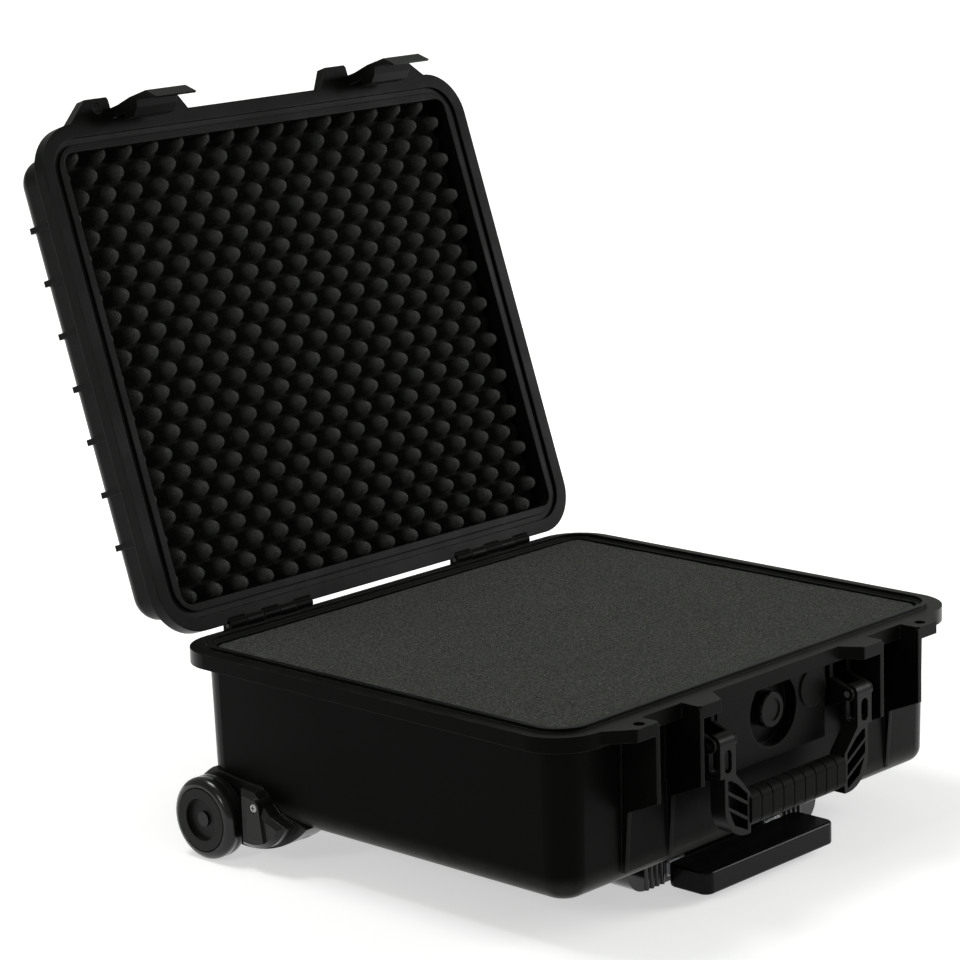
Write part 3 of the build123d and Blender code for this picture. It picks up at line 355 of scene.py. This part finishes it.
# The rounded bottom edge is painted paler in a patchy band: a painted reflection of the white table in its
# rounding.
reflection_band_foot = 0.001
reflection_band_height = 0.020
table_reflection_colour = (0.075, 0.076, 0.072)
tree = base_plastic.node_tree
place = add_node(tree, "ShaderNodeTexCoord")
height = add_node(tree, "ShaderNodeSeparateXYZ")
tree.links.new(place.outputs["Object"], height.inputs[0])
low_down = spread(tree, height.outputs["Z"], reflection_band_height, reflection_band_foot, interpolation_type="SMOOTHSTEP")
band_noise = own_noise(tree, scale=55.0, detail=5.0, roughness=0.7)
patchy = spread(tree, band_noise, start=0.3, end=0.65, low=0.45, high=0.9)
repaint(base_plastic, calc(tree, "MULTIPLY", low_down, patchy), table_reflection_colour)

# ---------------------------------------------------------------- foam in the base
# Three layers of open-cell polyurethane foam, cut to the hollow: a firm pad on the floor and two
# blocks over it. They are knife-cut, so the faces are flat but ragged, and the edges are crisp.

cell_size = 0.0017
pluck_dark = (0.013, 0.0135, 0.0118)
pluck_light = (0.106, 0.111, 0.100)
pluck_fleck = (0.19, 0.195, 0.183)
foam_corner = 0.010
foam_inset = Vector((0.0012, 0.0012, 0))
cut_edge_width = 0.0015


def open_cells_group():
    """Cut foam: walls of cells that catch light over dark pores, and stray lighter flecks."""
    group, given, result = new_group("open_cells", {"Cell Size": cell_size},
                                     {"Walls": "Float", "Flecks": "Float"})
    cells_per_metre = calc(group, "DIVIDE", 1.0, given.outputs["Cell Size"])
    place = add_node(group, "ShaderNodeTexCoord")
    cells = add_node(group, "ShaderNodeTexVoronoi", feature="DISTANCE_TO_EDGE")
    group.links.new(cells_per_metre, cells.inputs["Scale"])
    group.links.new(place.outputs["Object"], cells.inputs["Vector"])
    walls = spread(group, cells.outputs["Distance"], start=0.0, end=0.32, low=1.0, high=0.0)
    ragged = own_noise(group, cells_per_metre, detail=3.0, roughness=0.75)
    tall = spread(group, ragged, start=0.30, end=0.70, high=1.6)
    stray = own_noise(group, scale=420.0, detail=2.0, roughness=0.6)
    group.links.new(calc(group, "MULTIPLY", walls, tall), result.inputs["Walls"])
    group.links.new(spread(group, stray, start=0.58, end=0.72), result.inputs["Flecks"])
    return group


open_cells = open_cells_group()


def foam_finish(name, dark, light, fleck, fleck_share, cell, depth):
    """Open-cell foam in two tones with lighter flecks."""
    made, tree, output = new_material(name)
    surface = add_node(tree, "ShaderNodeBsdfPrincipled", {"Roughness": 0.95, "Specular IOR Level": 0.12})
    pores = add_node(tree, "ShaderNodeGroup", node_tree=open_cells)
    pores.inputs["Cell Size"].default_value = cell
    tones = colour_mix(tree, pores.outputs["Walls"], dark, light)
    share = calc(tree, "MULTIPLY", pores.outputs["Flecks"], fleck_share)
    tree.links.new(colour_mix(tree, share, tones, fleck), surface.inputs["Base Color"])
    relief = add_node(tree, "ShaderNodeBump", {"Strength": 1.0, "Distance": depth})
    tree.links.new(pores.outputs["Walls"], relief.inputs["Height"])
    tree.links.new(relief.outputs["Normal"], surface.inputs["Normal"])
    tree.links.new(surface.outputs[0], output.inputs["Surface"])
    return made


def foam_slab(name, low, high, corner, step, levels):
    """A closed slab on a rounded rectangle: a fine grid on its upper face, sides in levels, a plain back."""
    middle = (low + high) / 2
    half = (high - low) / 2
    shape = bmesh.new()
    bmesh.ops.create_grid(shape, x_segments=round(2 * half.x / step),
                          y_segments=round(2 * half.y / step), size=1)
    for vert in shape.verts:
        x, y = vert.co.x * half.x, vert.co.y * half.y
        past_x = max(0.0, abs(x) - half.x + corner)
        past_y = max(0.0, abs(y) - half.y + corner)
        if past_x and past_y:
            pull = max(past_x, past_y) / hypot(past_x, past_y)
            x = (half.x - corner + past_x * pull) * (1 if x > 0 else -1)
            y = (half.y - corner + past_y * pull) * (1 if y > 0 else -1)
        vert.co = (middle.x + x, middle.y + y, high.z)
    edge = [e for e in shape.edges if e.is_boundary]
    for level in range(levels):
        grown = bmesh.ops.extrude_edge_only(shape, edges=edge)["geom"]
        for vert in (g for g in grown if isinstance(g, bmesh.types.BMVert)):
            vert.co.z = high.z + (low.z - high.z) * (level + 1) / levels
        edge = [g for g in grown if isinstance(g, bmesh.types.BMEdge) and g.is_boundary]
    bmesh.ops.contextual_create(shape, geom=edge)
    bmesh.ops.recalc_face_normals(shape, faces=shape.faces)
    mesh = bpy.data.meshes.new(name)
    shape.to_mesh(mesh)
    shape.free()
    slab = bpy.data.objects.new(name, mesh)
    bpy.context.scene.collection.objects.link(slab)
    return slab


def new_shaper(name, sizes):
    """A geometry tree with number inputs and a material, and its input and output nodes."""
    tree = bpy.data.node_groups.new(name, "GeometryNodeTree")
    tree.interface.new_socket("Geometry", in_out="INPUT", socket_type="NodeSocketGeometry")
    for label, value in sizes.items():
        socket = tree.interface.new_socket(label, in_out="INPUT", socket_type="NodeSocketFloat")
        socket.default_value = value
    tree.interface.new_socket("Material", in_out="INPUT", socket_type="NodeSocketMaterial")
    tree.interface.new_socket("Geometry", in_out="OUTPUT", socket_type="NodeSocketGeometry")
    return tree, tree.nodes.new("NodeGroupInput"), tree.nodes.new("NodeGroupOutput")


def end_shaper(tree, given, result, shape):
    """End a geometry tree: make its copies real and give them the material."""
    real = add_node(tree, "GeometryNodeRealizeInstances")
    finish = add_node(tree, "GeometryNodeSetMaterial")
    tree.links.new(shape, real.inputs[0])
    tree.links.new(real.outputs[0], finish.inputs["Geometry"])
    tree.links.new(given.outputs["Material"], finish.inputs["Material"])
    tree.links.new(finish.outputs[0], result.inputs["Geometry"])
    return tree


def keep_result(obj):
    """Turn what the modifiers make into the object's own plain mesh."""
    graph = bpy.context.evaluated_depsgraph_get()
    mesh = bpy.data.meshes.new_from_object(obj.evaluated_get(graph), depsgraph=graph)
    obj.modifiers.clear()
    obj.data = mesh


def shape_with(obj, tree, material):
    """Run a geometry tree on an object, with a material for what it makes, and keep the result."""
    modifier = obj.modifiers.new(tree.name, "NODES")
    modifier.node_group = tree
    modifier[tree.interface.items_tree["Material"].identifier] = material
    keep_result(obj)


def ragged_cut_tree():
    """The knife's waver and the torn cells, which move a foam face in and out along its normal."""
    tree, given, result = new_shaper("ragged_cut", {
        "Waver Size": 0.07, "Waver": 0.0012, "Tear Size": 0.006, "Tear": 0.0008})
    shifts = []
    for size, depth, seed in (("Waver Size", "Waver", 3.7), ("Tear Size", "Tear", 4.7)):
        waves = add_node(tree, "ShaderNodeTexNoise", {"Detail": 2.0, "W": seed}, noise_dimensions="4D")
        tree.links.new(calc(tree, "DIVIDE", 1.0, given.outputs[size]), waves.inputs["Scale"])
        centred = calc(tree, "SUBTRACT", waves.outputs[0], 0.5)
        shifts.append(calc(tree, "MULTIPLY", centred, given.outputs[depth]))
    normal = add_node(tree, "GeometryNodeInputNormal")
    along = add_node(tree, "ShaderNodeVectorMath", operation="SCALE")
    moved = add_node(tree, "GeometryNodeSetPosition")
    tree.links.new(normal.outputs[0], along.inputs[0])
    tree.links.new(calc(tree, "ADD", *shifts), along.inputs["Scale"])
    tree.links.new(given.outputs["Geometry"], moved.inputs["Geometry"])
    tree.links.new(along.outputs[0], moved.inputs["Offset"])
    return end_shaper(tree, given, result, moved.outputs[0])


ragged_cut = ragged_cut_tree()
pluck_foam = foam_finish("charcoal_foam", pluck_dark, pluck_light, pluck_fleck,
                         fleck_share=0.55, cell=cell_size, depth=0.0009)
# Each layer, the size of its grid and the levels of its sides. Only the top one shows.
base_layers = (("base_foam_pad", 0.02, 2), ("base_foam_lower", 0.02, 3), ("base_foam_upper", 0.0026, 10))

for layer, step, levels in base_layers:
    low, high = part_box(layer)
    block = foam_slab(layer + "_cut", low + foam_inset, high - foam_inset, foam_corner, step, levels)
    softened = block.modifiers.new("cut_edge", "BEVEL")
    softened.width = cut_edge_width
    softened.segments = 2
    softened.limit_method = "ANGLE"
    softened.angle_limit = radians(60)
    shape_with(block, ragged_cut, pluck_foam)
    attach(block, "base")
    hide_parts(layer)

# ---------------------------------------------------------------- purge valve
# A turned nylon cap with a fluted edge over a flanged body, a soft washer and a nut inside the
# wall. The cap is screwed down by hand, so its rim is a little polished.

valve_nylon = moulded("valve_nylon", colour=(0.0028, 0.0033, 0.0024), worn_and_highlight=(0.07, 0.07, 0.066),
                      roughness=0.40, grain_size=0.0005, grain_depth=0.00002, wear_and_highlight=0.6,
                      wear_reach=0.0007, dust=0.04, gloss=0.07, glancing=0.4)
seal_rubber = moulded("seal_rubber", colour=(0.009, 0.009, 0.0088), worn_and_highlight=(0.03, 0.03, 0.03),
                      roughness=0.62, grain_size=0.0004, grain_depth=0.00002, wear_and_highlight=0.2, dust=0.05,
                      gloss=0.15)
dress(valve_nylon, "purge_valve_body", "purge_valve_nut", "purge_valve_knob")
dress(seal_rubber, "purge_valve_seal")

# ---------------------------------------------------------------- lid shell and its seal
# The second moulding, in the same plastic: a shallow domed tray with upright ribs on its ends.
# A rubber cord is pressed into the groove of its rim and meets the tongue of the base.

lid_plastic = moulded("lid_polypropylene", colour=shell_black, worn_and_highlight=shell_edge_wear_and_highlight, roughness=0.40,
                      grain_size=0.0007, grain_depth=0.00005, wear_and_highlight=0.7, wear_reach=0.0014,
                      dust=0.05, gloss=0.045, glancing=0.5)
dress(lid_plastic, "lid_shell")
dress(seal_rubber, "lid_gasket")

# ---------------------------------------------------------------- egg-crate foam in the lid
# Convoluted polyurethane foam, cut between profiled rollers into staggered rounded peaks over
# deep hollows, and glued into the lid by its flat back. It is drawn shut and swung open.

hinge_line = Vector((0, 0.2068, 0.132))
lid_swing = radians(-108.5)
crate_low = Vector((-0.2142, -0.1832, 0.1354))
crate_high = Vector((0.2142, 0.1832, 0.1852))
peak_pitch = 0.0278
row_pitch = 0.0163
first_peak = (-0.1965, -0.1812)
valley_depth = 0.020
crate_step = 0.00204
crate_levels = 8
crate_dark = (0.010, 0.011, 0.009)
crate_light = (0.026, 0.028, 0.024)
crate_fleck = (0.060, 0.060, 0.058)
# The last tone is a painted highlight on the peaks' tips.
crate_tip_highlight = (0.086, 0.090, 0.082)


def egg_crate_tree():
    """Sinks a flat foam face between staggered peaks; what is deeper sinks less, down to the back."""
    tree, given, result = new_shaper("egg_crate", {
        "Peak Pitch": peak_pitch, "Row Pitch": row_pitch, "First Peak": first_peak[0],
        "First Row": first_peak[1], "Back": crate_high.z, "Thickness": crate_high.z - crate_low.z,
        "Valley Depth": valley_depth, "Valley Spread": 0.24, "Wander": 0.0012})
    place = add_node(tree, "GeometryNodeInputPosition")
    wander = add_node(tree, "ShaderNodeTexNoise", {"Scale": 34.0, "Detail": 1.0, "W": 1.3},
                      noise_dimensions="4D")
    centred = add_node(tree, "ShaderNodeVectorMath", {1: (0.5, 0.5, 0.5)}, operation="SUBTRACT")
    scaled = add_node(tree, "ShaderNodeVectorMath", operation="SCALE")
    wandered = add_node(tree, "ShaderNodeVectorMath", operation="ADD")
    at = add_node(tree, "ShaderNodeSeparateXYZ")
    true_at = add_node(tree, "ShaderNodeSeparateXYZ")
    tree.links.new(wander.outputs["Color"], centred.inputs[0])
    tree.links.new(centred.outputs[0], scaled.inputs[0])
    tree.links.new(given.outputs["Wander"], scaled.inputs["Scale"])
    tree.links.new(place.outputs[0], wandered.inputs[0])
    tree.links.new(scaled.outputs[0], wandered.inputs[1])
    tree.links.new(wandered.outputs[0], at.inputs[0])
    tree.links.new(place.outputs[0], true_at.inputs[0])

    waves = []
    for axis, first, pitch, turn in (("X", "First Peak", "Peak Pitch", 2 * pi),
                                     ("Y", "First Row", "Row Pitch", pi)):
        past_first = calc(tree, "SUBTRACT", at.outputs[axis], given.outputs[first])
        pitches = calc(tree, "DIVIDE", past_first, given.outputs[pitch])
        waves.append(calc(tree, "COSINE", calc(tree, "MULTIPLY", pitches, turn)))
    swell = calc(tree, "MULTIPLY_ADD", calc(tree, "MULTIPLY", *waves), 0.5, 0.5)
    rounded = spread(tree, swell, given.outputs["Valley Spread"], 1.0, interpolation_type="SMOOTHSTEP")
    valley = calc(tree, "DIVIDE", given.outputs["Valley Depth"], given.outputs["Thickness"])
    sunk = calc(tree, "MULTIPLY", calc(tree, "SUBTRACT", 1.0, rounded), valley)
    from_back = calc(tree, "SUBTRACT", given.outputs["Back"], true_at.outputs["Z"])

    offset = add_node(tree, "ShaderNodeCombineXYZ")
    noted = add_node(tree, "GeometryNodeStoreNamedAttribute", {"Name": "peak"},
                     data_type="FLOAT", domain="POINT")
    moved = add_node(tree, "GeometryNodeSetPosition")
    smooth = add_node(tree, "GeometryNodeSetShadeSmooth")
    tree.links.new(calc(tree, "MULTIPLY", from_back, sunk), offset.inputs["Z"])
    tree.links.new(given.outputs["Geometry"], noted.inputs["Geometry"])
    tree.links.new(rounded, noted.inputs["Value"])
    tree.links.new(noted.outputs[0], moved.inputs["Geometry"])
    tree.links.new(offset.outputs[0], moved.inputs["Offset"])
    tree.links.new(moved.outputs[0], smooth.inputs["Geometry"])
    return end_shaper(tree, given, result, smooth.outputs[0])


crate_foam = foam_finish("egg_crate_foam", crate_dark, crate_light, crate_fleck,
                         fleck_share=0.6, cell=0.0018, depth=0.0014)
# The peaks' tips are painted paler than the hollows: a painted highlight on their rounded tops.
peak = add_node(crate_foam.node_tree, "ShaderNodeAttribute", attribute_name="peak")
tip_highlight = spread(crate_foam.node_tree, peak.outputs["Fac"], start=0.4, end=0.9, high=0.85)
repaint(crate_foam, tip_highlight, crate_tip_highlight)

# The slab's fine face looks down in the shut lid, so it is made upside down and turned over.
crate = foam_slab("egg_crate_foam", Vector((crate_low.x, crate_low.y, -crate_high.z)),
                  Vector((crate_high.x, crate_high.y, -crate_low.z)), foam_corner, crate_step, crate_levels)
crate.data.transform(Matrix.Diagonal((1, -1, -1, 1)))
shape_with(crate, egg_crate_tree(), crate_foam)
to_hinge = Matrix.Translation(-hinge_line)
from_hinge = Matrix.Translation(hinge_line)
crate.data.transform(from_hinge @ Matrix.Rotation(lid_swing, 4, "X") @ to_hinge)
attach(crate, "lid")
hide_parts("lid_foam")

# ---------------------------------------------------------------- hinge, latch and handle pins
# Plain steel pins, cut from drawn rod and pressed into one half of each joint. The latches' and
# the handle's are stainless, and the hinges' are blackened, like the wheels' axles.

streak_dark = 0.82
streak_relief = 0.6


def metal(name, colour, roughness, streak_scale, streaks, depth):
    """A drawn or brushed metal, streaked along the axis with the smallest scale."""
    made, tree, output = new_material(name)
    surface = add_node(tree, "ShaderNodeBsdfPrincipled", {"Metallic": 1.0})
    place = add_node(tree, "ShaderNodeTexCoord")
    stretch = add_node(tree, "ShaderNodeMapping", {"Scale": streak_scale})
    lines = add_node(tree, "ShaderNodeTexNoise", {"Scale": 1.0, "Detail": 4.0, "Roughness": 0.65})
    tree.links.new(place.outputs["Object"], stretch.inputs["Vector"])
    tree.links.new(stretch.outputs[0], lines.inputs["Vector"])
    drawn = lines.outputs["Fac"]
    darker = [level * streak_dark for level in colour]
    sheen = spread(tree, drawn, start=0.3, end=0.7, low=roughness - streaks, high=roughness + streaks)
    relief = add_node(tree, "ShaderNodeBump", {"Strength": streak_relief, "Distance": depth})
    tree.links.new(colour_mix(tree, drawn, darker, colour), surface.inputs["Base Color"])
    tree.links.new(sheen, surface.inputs["Roughness"])
    tree.links.new(drawn, relief.inputs["Height"])
    tree.links.new(relief.outputs["Normal"], surface.inputs["Normal"])
    tree.links.new(surface.outputs[0], output.inputs["Surface"])
    return made


pin_steel = metal("pin_steel", colour=(0.58, 0.58, 0.57), roughness=0.3,
                  streak_scale=(60, 1800, 1800), streaks=0.08, depth=0.00001)
black_steel = metal("black_steel", colour=(0.035, 0.036, 0.035), roughness=0.42,
                    streak_scale=(700, 700, 700), streaks=0.08, depth=0.00001)
dress(pin_steel, "latch_pin_left", "latch_pin_right", "handle_pins")
dress(black_steel, "hinge_pins")

# ---------------------------------------------------------------- latches
# Two wide glass-filled nylon levers that swing on pins in the lid's guards and hook under the
# base's rim. The surface is finer and a little glossier than the shells'.

latch_nylon = moulded("latch_nylon", colour=(0.0030, 0.0036, 0.0027), worn_and_highlight=(0.07, 0.07, 0.066),
                      roughness=0.38, grain_size=0.0006, grain_depth=0.00003, wear_and_highlight=0.8,
                      wear_reach=0.0008, dust=0.04, gloss=0.06, glancing=0.5)
dress(latch_nylon, "latch_lever_left", "latch_lever_right")

# ---------------------------------------------------------------- carry handle
# A glass-filled nylon bow with pivot boxes and slotted arms, hung on two pins between the ears,
# and a soft rubber sleeve moulded round its middle with fine cross grooves.

handle_nylon = moulded("handle_nylon", colour=(0.0035, 0.0041, 0.0031), worn_and_highlight=(0.06, 0.06, 0.057),
                       roughness=0.40, grain_size=0.0006, grain_depth=0.00003, wear_and_highlight=0.6,
                       wear_reach=0.0008, dust=0.06, gloss=0.07)
grip_rubber = moulded("grip_rubber", colour=(0.0028, 0.0033, 0.0024), worn_and_highlight=(0.03, 0.03, 0.029),
                      roughness=0.55, grain_size=0.0009, grain_depth=0.00006, wear_and_highlight=0.4,
                      wear_reach=0.0010, dust=0.04, gloss=0.04, glancing=0.3)
dress(handle_nylon, "handle_frame")
dress(grip_rubber, "handle_grip")

# ---------------------------------------------------------------- wheel brackets
# Two bellied nylon pods under the back corners, screwed on from below and from the side; each
# has a fairing with a small web in front of its wheel.

trolley_nylon = moulded("trolley_nylon", colour=(0.0055, 0.006, 0.005), worn_and_highlight=(0.06, 0.06, 0.058),
                        roughness=0.34, grain_size=0.0006, grain_depth=0.00002, wear_and_highlight=0.6,
                        wear_reach=0.0008, dust=0.08, gloss=0.2)
dress(trolley_nylon, "wheel_bracket_left", "wheel_bracket_right")

# ---------------------------------------------------------------- wheels
# A hard plastic hub with a dished face carries a solid rubber tyre with big round shoulders and
# a fine mould groove round its tread. The hub runs on a steel axle with a broad head.

wheel_y, wheel_z = 0.172, -0.004
wheel_inner, wheel_outer = 0.2225, 0.2435
tyre_radius = 0.033
hub_radius = 0.025
shoulder = 0.0065
shoulder_steps = 7
wheel_steps = 96
mould_line = 0.0004
outer_lip = ((0.0, 0.0012), (0.0008, 0.0004), (0.0012, 0.0))
crease_angle = radians(40)

tyre_rubber = moulded("tyre_rubber", colour=(0.0060, 0.0066, 0.0055), worn_and_highlight=(0.05, 0.05, 0.048),
                      roughness=0.20, grain_size=0.0010, grain_depth=0.00002, wear_and_highlight=0.2,
                      wear_reach=0.001, dust=0.08, gloss=0.35)
hub_plastic = moulded("hub_plastic", colour=(0.0055, 0.006, 0.005), worn_and_highlight=(0.06, 0.06, 0.058),
                      roughness=0.45, grain_size=0.0006, grain_depth=0.00001, wear_and_highlight=0.1,
                      wear_reach=0.0008, dust=0.05, gloss=0.12)
dress(hub_plastic, "wheel_hub_left", "wheel_hub_right")
dress(black_steel, "wheel_axle_left", "wheel_axle_right")


def turned_ring(name, section, centre_y, centre_z, steps):
    """A closed ring turned about an axis along X, from a closed section of (x, radius) points."""
    count = len(section)
    points = []
    for step in range(steps):
        angle = 2 * pi * step / steps
        points += [(x, centre_y + r * cos(angle), centre_z + r * sin(angle)) for x, r in section]
    faces = []
    for step in range(steps):
        here = step * count
        following = (step + 1) % steps * count
        for spot in range(count):
            beside = (spot + 1) % count
            faces.append((here + spot, here + beside, following + beside, following + spot))
    mesh = bpy.data.meshes.new(name)
    mesh.from_pydata(points, [], faces)
    shape = bmesh.new()
    shape.from_mesh(mesh)
    bmesh.ops.recalc_face_normals(shape, faces=shape.faces)
    shape.to_mesh(mesh)
    shape.free()
    mesh.polygons.foreach_set("use_smooth", [True] * len(mesh.polygons))
    ring = bpy.data.objects.new(name, mesh)
    bpy.context.scene.collection.objects.link(ring)
    return ring


def tyre_shoulder(x, from_angle):
    """A quarter round of the tyre's section about a point at x, from an angle in degrees."""
    angles = [radians(from_angle - 90 * step / shoulder_steps) for step in range(shoulder_steps + 1)]
    return [(x + shoulder * cos(a), tyre_radius - shoulder + shoulder * sin(a)) for a in angles]


tread_middle = (wheel_inner + wheel_outer) / 2
mould_groove = [(tread_middle + reach * mould_line, tyre_radius - depth * mould_line)
                for reach, depth in ((-2, 0), (-1, 0.5), (1, 0.5), (2, 0))]
tyre_section = [(wheel_inner, hub_radius)]
tyre_section += tyre_shoulder(wheel_inner + shoulder, 180)
tyre_section += mould_groove
tyre_section += tyre_shoulder(wheel_outer - shoulder, 90)
tyre_section += [(wheel_outer - inward, hub_radius + above) for inward, above in outer_lip]

for side, wheel in ((-1, "left"), (1, "right")):
    section = [(side * x, radius) for x, radius in tyre_section]
    tyre = turned_ring("tyre_" + wheel, section, wheel_y, wheel_z, wheel_steps)
    creased = tyre.modifiers.new("creases", "EDGE_SPLIT")
    creased.split_angle = crease_angle
    keep_result(tyre)
    tyre.data.materials.append(tyre_rubber)
    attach(tyre, "wheel_" + wheel)
    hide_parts("wheel_tyre_" + wheel)

# ---------------------------------------------------------------- trolley
# Three stages of drawn, clear-anodised aluminium tube slide in one another. A glossy nylon block
# with ribbed round ends guides them, and two rubber pads behind it rest on the ground.

tube_aluminium = metal("tube_aluminium", colour=(0.50, 0.51, 0.52), roughness=0.32,
                       streak_scale=(1500, 25, 1500), streaks=0.09, depth=0.00001)
bar_abs = moulded("bar_abs", colour=(0.0020, 0.0025, 0.0018), worn_and_highlight=(0.05, 0.05, 0.05),
                  roughness=0.22, grain_size=0.0012, grain_depth=0.000004, wear_and_highlight=0.5,
                  wear_reach=0.0006, dust=0.02, gloss=0.10, unevenness=0.03, glancing=0.7)
guide_nylon = moulded("guide_nylon", colour=(0.004, 0.0045, 0.0038), worn_and_highlight=(0.06, 0.06, 0.058),
                      roughness=0.15, grain_size=0.0008, grain_depth=0.00001, wear_and_highlight=0.5,
                      wear_reach=0.0007, dust=0.03, gloss=0.6)
foot_rubber = moulded("foot_rubber", colour=(0.012, 0.012, 0.0118), worn_and_highlight=(0.04, 0.04, 0.04),
                      roughness=0.66, grain_size=0.0007, grain_depth=0.00005, wear_and_highlight=0.3, dust=0.1,
                      gloss=0.3)
dress(tube_aluminium, "trolley_outer_tubes", "trolley_middle_tubes", "trolley_inner_tubes")
dress(bar_abs, "trolley_grip", "trolley_button")
dress(guide_nylon, "trolley_guide")
dress(trolley_nylon, "trolley_anchor")
dress(foot_rubber, "foot_pads")

# ---------------------------------------------------------------- screws
# Zinc-plated pan-head screws with cross recesses, driven up from below: two in each bracket, four
# in the trolley's guide and four in its anchor. One more goes through each fairing from the side.

head_radius = 0.004
head_height = 0.0024
dome_pull = 0.9
shank_radius = 0.002
shank_length = 0.006
recess_width = 0.0009
recess_depth = 0.0013
under_head = -0.003
fairing_face = 0.2375
fairing_screw_y, fairing_screw_z = 0.118, 0.015
bracket_spots = ((0.204, 0.096), (0.204, 0.138))
guide_spots = ((0.032, -0.139), (0.088, -0.080))
anchor_spots = ((0.032, 0.152), (0.084, 0.152))
below_spots = [(side * x, y) for side in (-1, 1) for x, y in bracket_spots + guide_spots + anchor_spots]
side_spots = [(side * (fairing_face - head_height), fairing_screw_y, fairing_screw_z) for side in (-1, 1)]

screw_zinc = metal("screw_zinc", colour=(0.34, 0.34, 0.33), roughness=0.34,
                   streak_scale=(900, 900, 900), streaks=0.06, depth=0.000005)


def screw_tree():
    """Pan-head screws at the points of a mesh, each turned to the way that its point faces."""
    tree, given, result = new_shaper("pan_head_screws", {
        "Head Radius": head_radius, "Head Height": head_height, "Shank Radius": shank_radius,
        "Shank Length": shank_length, "Recess Width": recess_width, "Recess Depth": recess_depth})
    size = given.outputs

    def raised(geometry, height):
        """Geometry lifted by a height."""
        lift = add_node(tree, "GeometryNodeTransform")
        shift = add_node(tree, "ShaderNodeCombineXYZ")
        tree.links.new(geometry, lift.inputs["Geometry"])
        tree.links.new(height, shift.inputs["Z"])
        tree.links.new(shift.outputs[0], lift.inputs["Translation"])
        return lift.outputs[0]

    # The upper rings of the head are pulled in, so its edge is domed.
    head = add_node(tree, "GeometryNodeMeshCylinder", {"Vertices": 28, "Side Segments": 4})
    place = add_node(tree, "GeometryNodeInputPosition")
    at = add_node(tree, "ShaderNodeSeparateXYZ")
    narrower = add_node(tree, "ShaderNodeCombineXYZ", {"Z": 1.0})
    domed_place = add_node(tree, "ShaderNodeVectorMath", operation="MULTIPLY")
    domed = add_node(tree, "GeometryNodeSetPosition")
    tree.links.new(size["Head Radius"], head.inputs["Radius"])
    tree.links.new(size["Head Height"], head.inputs["Depth"])
    tree.links.new(place.outputs[0], at.inputs[0])
    share = calc(tree, "MAXIMUM", calc(tree, "DIVIDE", at.outputs["Z"], size["Head Height"]), 0.0)
    pulled = calc(tree, "MULTIPLY_ADD", calc(tree, "POWER", share, 2.0), -dome_pull, 1.0)
    tree.links.new(pulled, narrower.inputs["X"])
    tree.links.new(pulled, narrower.inputs["Y"])
    tree.links.new(place.outputs[0], domed_place.inputs[0])
    tree.links.new(narrower.outputs[0], domed_place.inputs[1])
    tree.links.new(head.outputs["Mesh"], domed.inputs["Geometry"])
    tree.links.new(domed_place.outputs[0], domed.inputs["Position"])
    raised_head = raised(domed.outputs[0], calc(tree, "MULTIPLY", size["Head Height"], 0.5))

    # Two crossed bars cut the recess out of it.
    cross = add_node(tree, "GeometryNodeJoinGeometry")
    for lengthwise, crosswise in (("X", "Y"), ("Y", "X")):
        bar = add_node(tree, "GeometryNodeMeshCube")
        extent = add_node(tree, "ShaderNodeCombineXYZ")
        tree.links.new(size["Head Radius"], extent.inputs[lengthwise])
        tree.links.new(size["Recess Width"], extent.inputs[crosswise])
        tree.links.new(calc(tree, "MULTIPLY", size["Recess Depth"], 2.0), extent.inputs["Z"])
        tree.links.new(extent.outputs[0], bar.inputs["Size"])
        tree.links.new(bar.outputs["Mesh"], cross.inputs[0])
    recessed = add_node(tree, "GeometryNodeMeshBoolean", {"Self Intersection": True},
                        operation="DIFFERENCE", solver="EXACT")
    tree.links.new(raised_head, recessed.inputs["Mesh 1"])
    tree.links.new(raised(cross.outputs[0], size["Head Height"]), recessed.inputs["Mesh 2"])

    shank = add_node(tree, "GeometryNodeMeshCylinder", {"Vertices": 16})
    tree.links.new(size["Shank Radius"], shank.inputs["Radius"])
    tree.links.new(size["Shank Length"], shank.inputs["Depth"])
    lowered_shank = raised(shank.outputs["Mesh"], calc(tree, "MULTIPLY", size["Shank Length"], -0.5))
    whole = add_node(tree, "GeometryNodeJoinGeometry")
    tree.links.new(recessed.outputs[0], whole.inputs[0])
    tree.links.new(lowered_shank, whole.inputs[0])

    facing = add_node(tree, "GeometryNodeInputNamedAttribute", {"Name": "facing"}, data_type="FLOAT_VECTOR")
    turn = add_node(tree, "FunctionNodeAlignRotationToVector", axis="Z")
    placed = add_node(tree, "GeometryNodeInstanceOnPoints")
    tree.links.new(facing.outputs[0], turn.inputs["Vector"])
    tree.links.new(given.outputs["Geometry"], placed.inputs["Points"])
    tree.links.new(whole.outputs[0], placed.inputs["Instance"])
    tree.links.new(turn.outputs[0], placed.inputs["Rotation"])
    return end_shaper(tree, given, result, placed.outputs[0])


screw_points = [(x, y, under_head) for x, y in below_spots] + side_spots
screw_facings = [(0, 0, -1)] * len(below_spots) + [(-1, 0, 0), (1, 0, 0)]
screw_mesh = bpy.data.meshes.new("mounting_screw_points")
screw_mesh.from_pydata(screw_points, [], [])
ways = screw_mesh.attributes.new("facing", "FLOAT_VECTOR", "POINT")
for number, way in enumerate(screw_facings):
    ways.data[number].vector = way
screws = bpy.data.objects.new("pan_head_screws", screw_mesh)
bpy.context.scene.collection.objects.link(screws)
shape_with(screws, screw_tree(), screw_zinc)
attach(screws, "base")
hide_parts("mounting_screws")
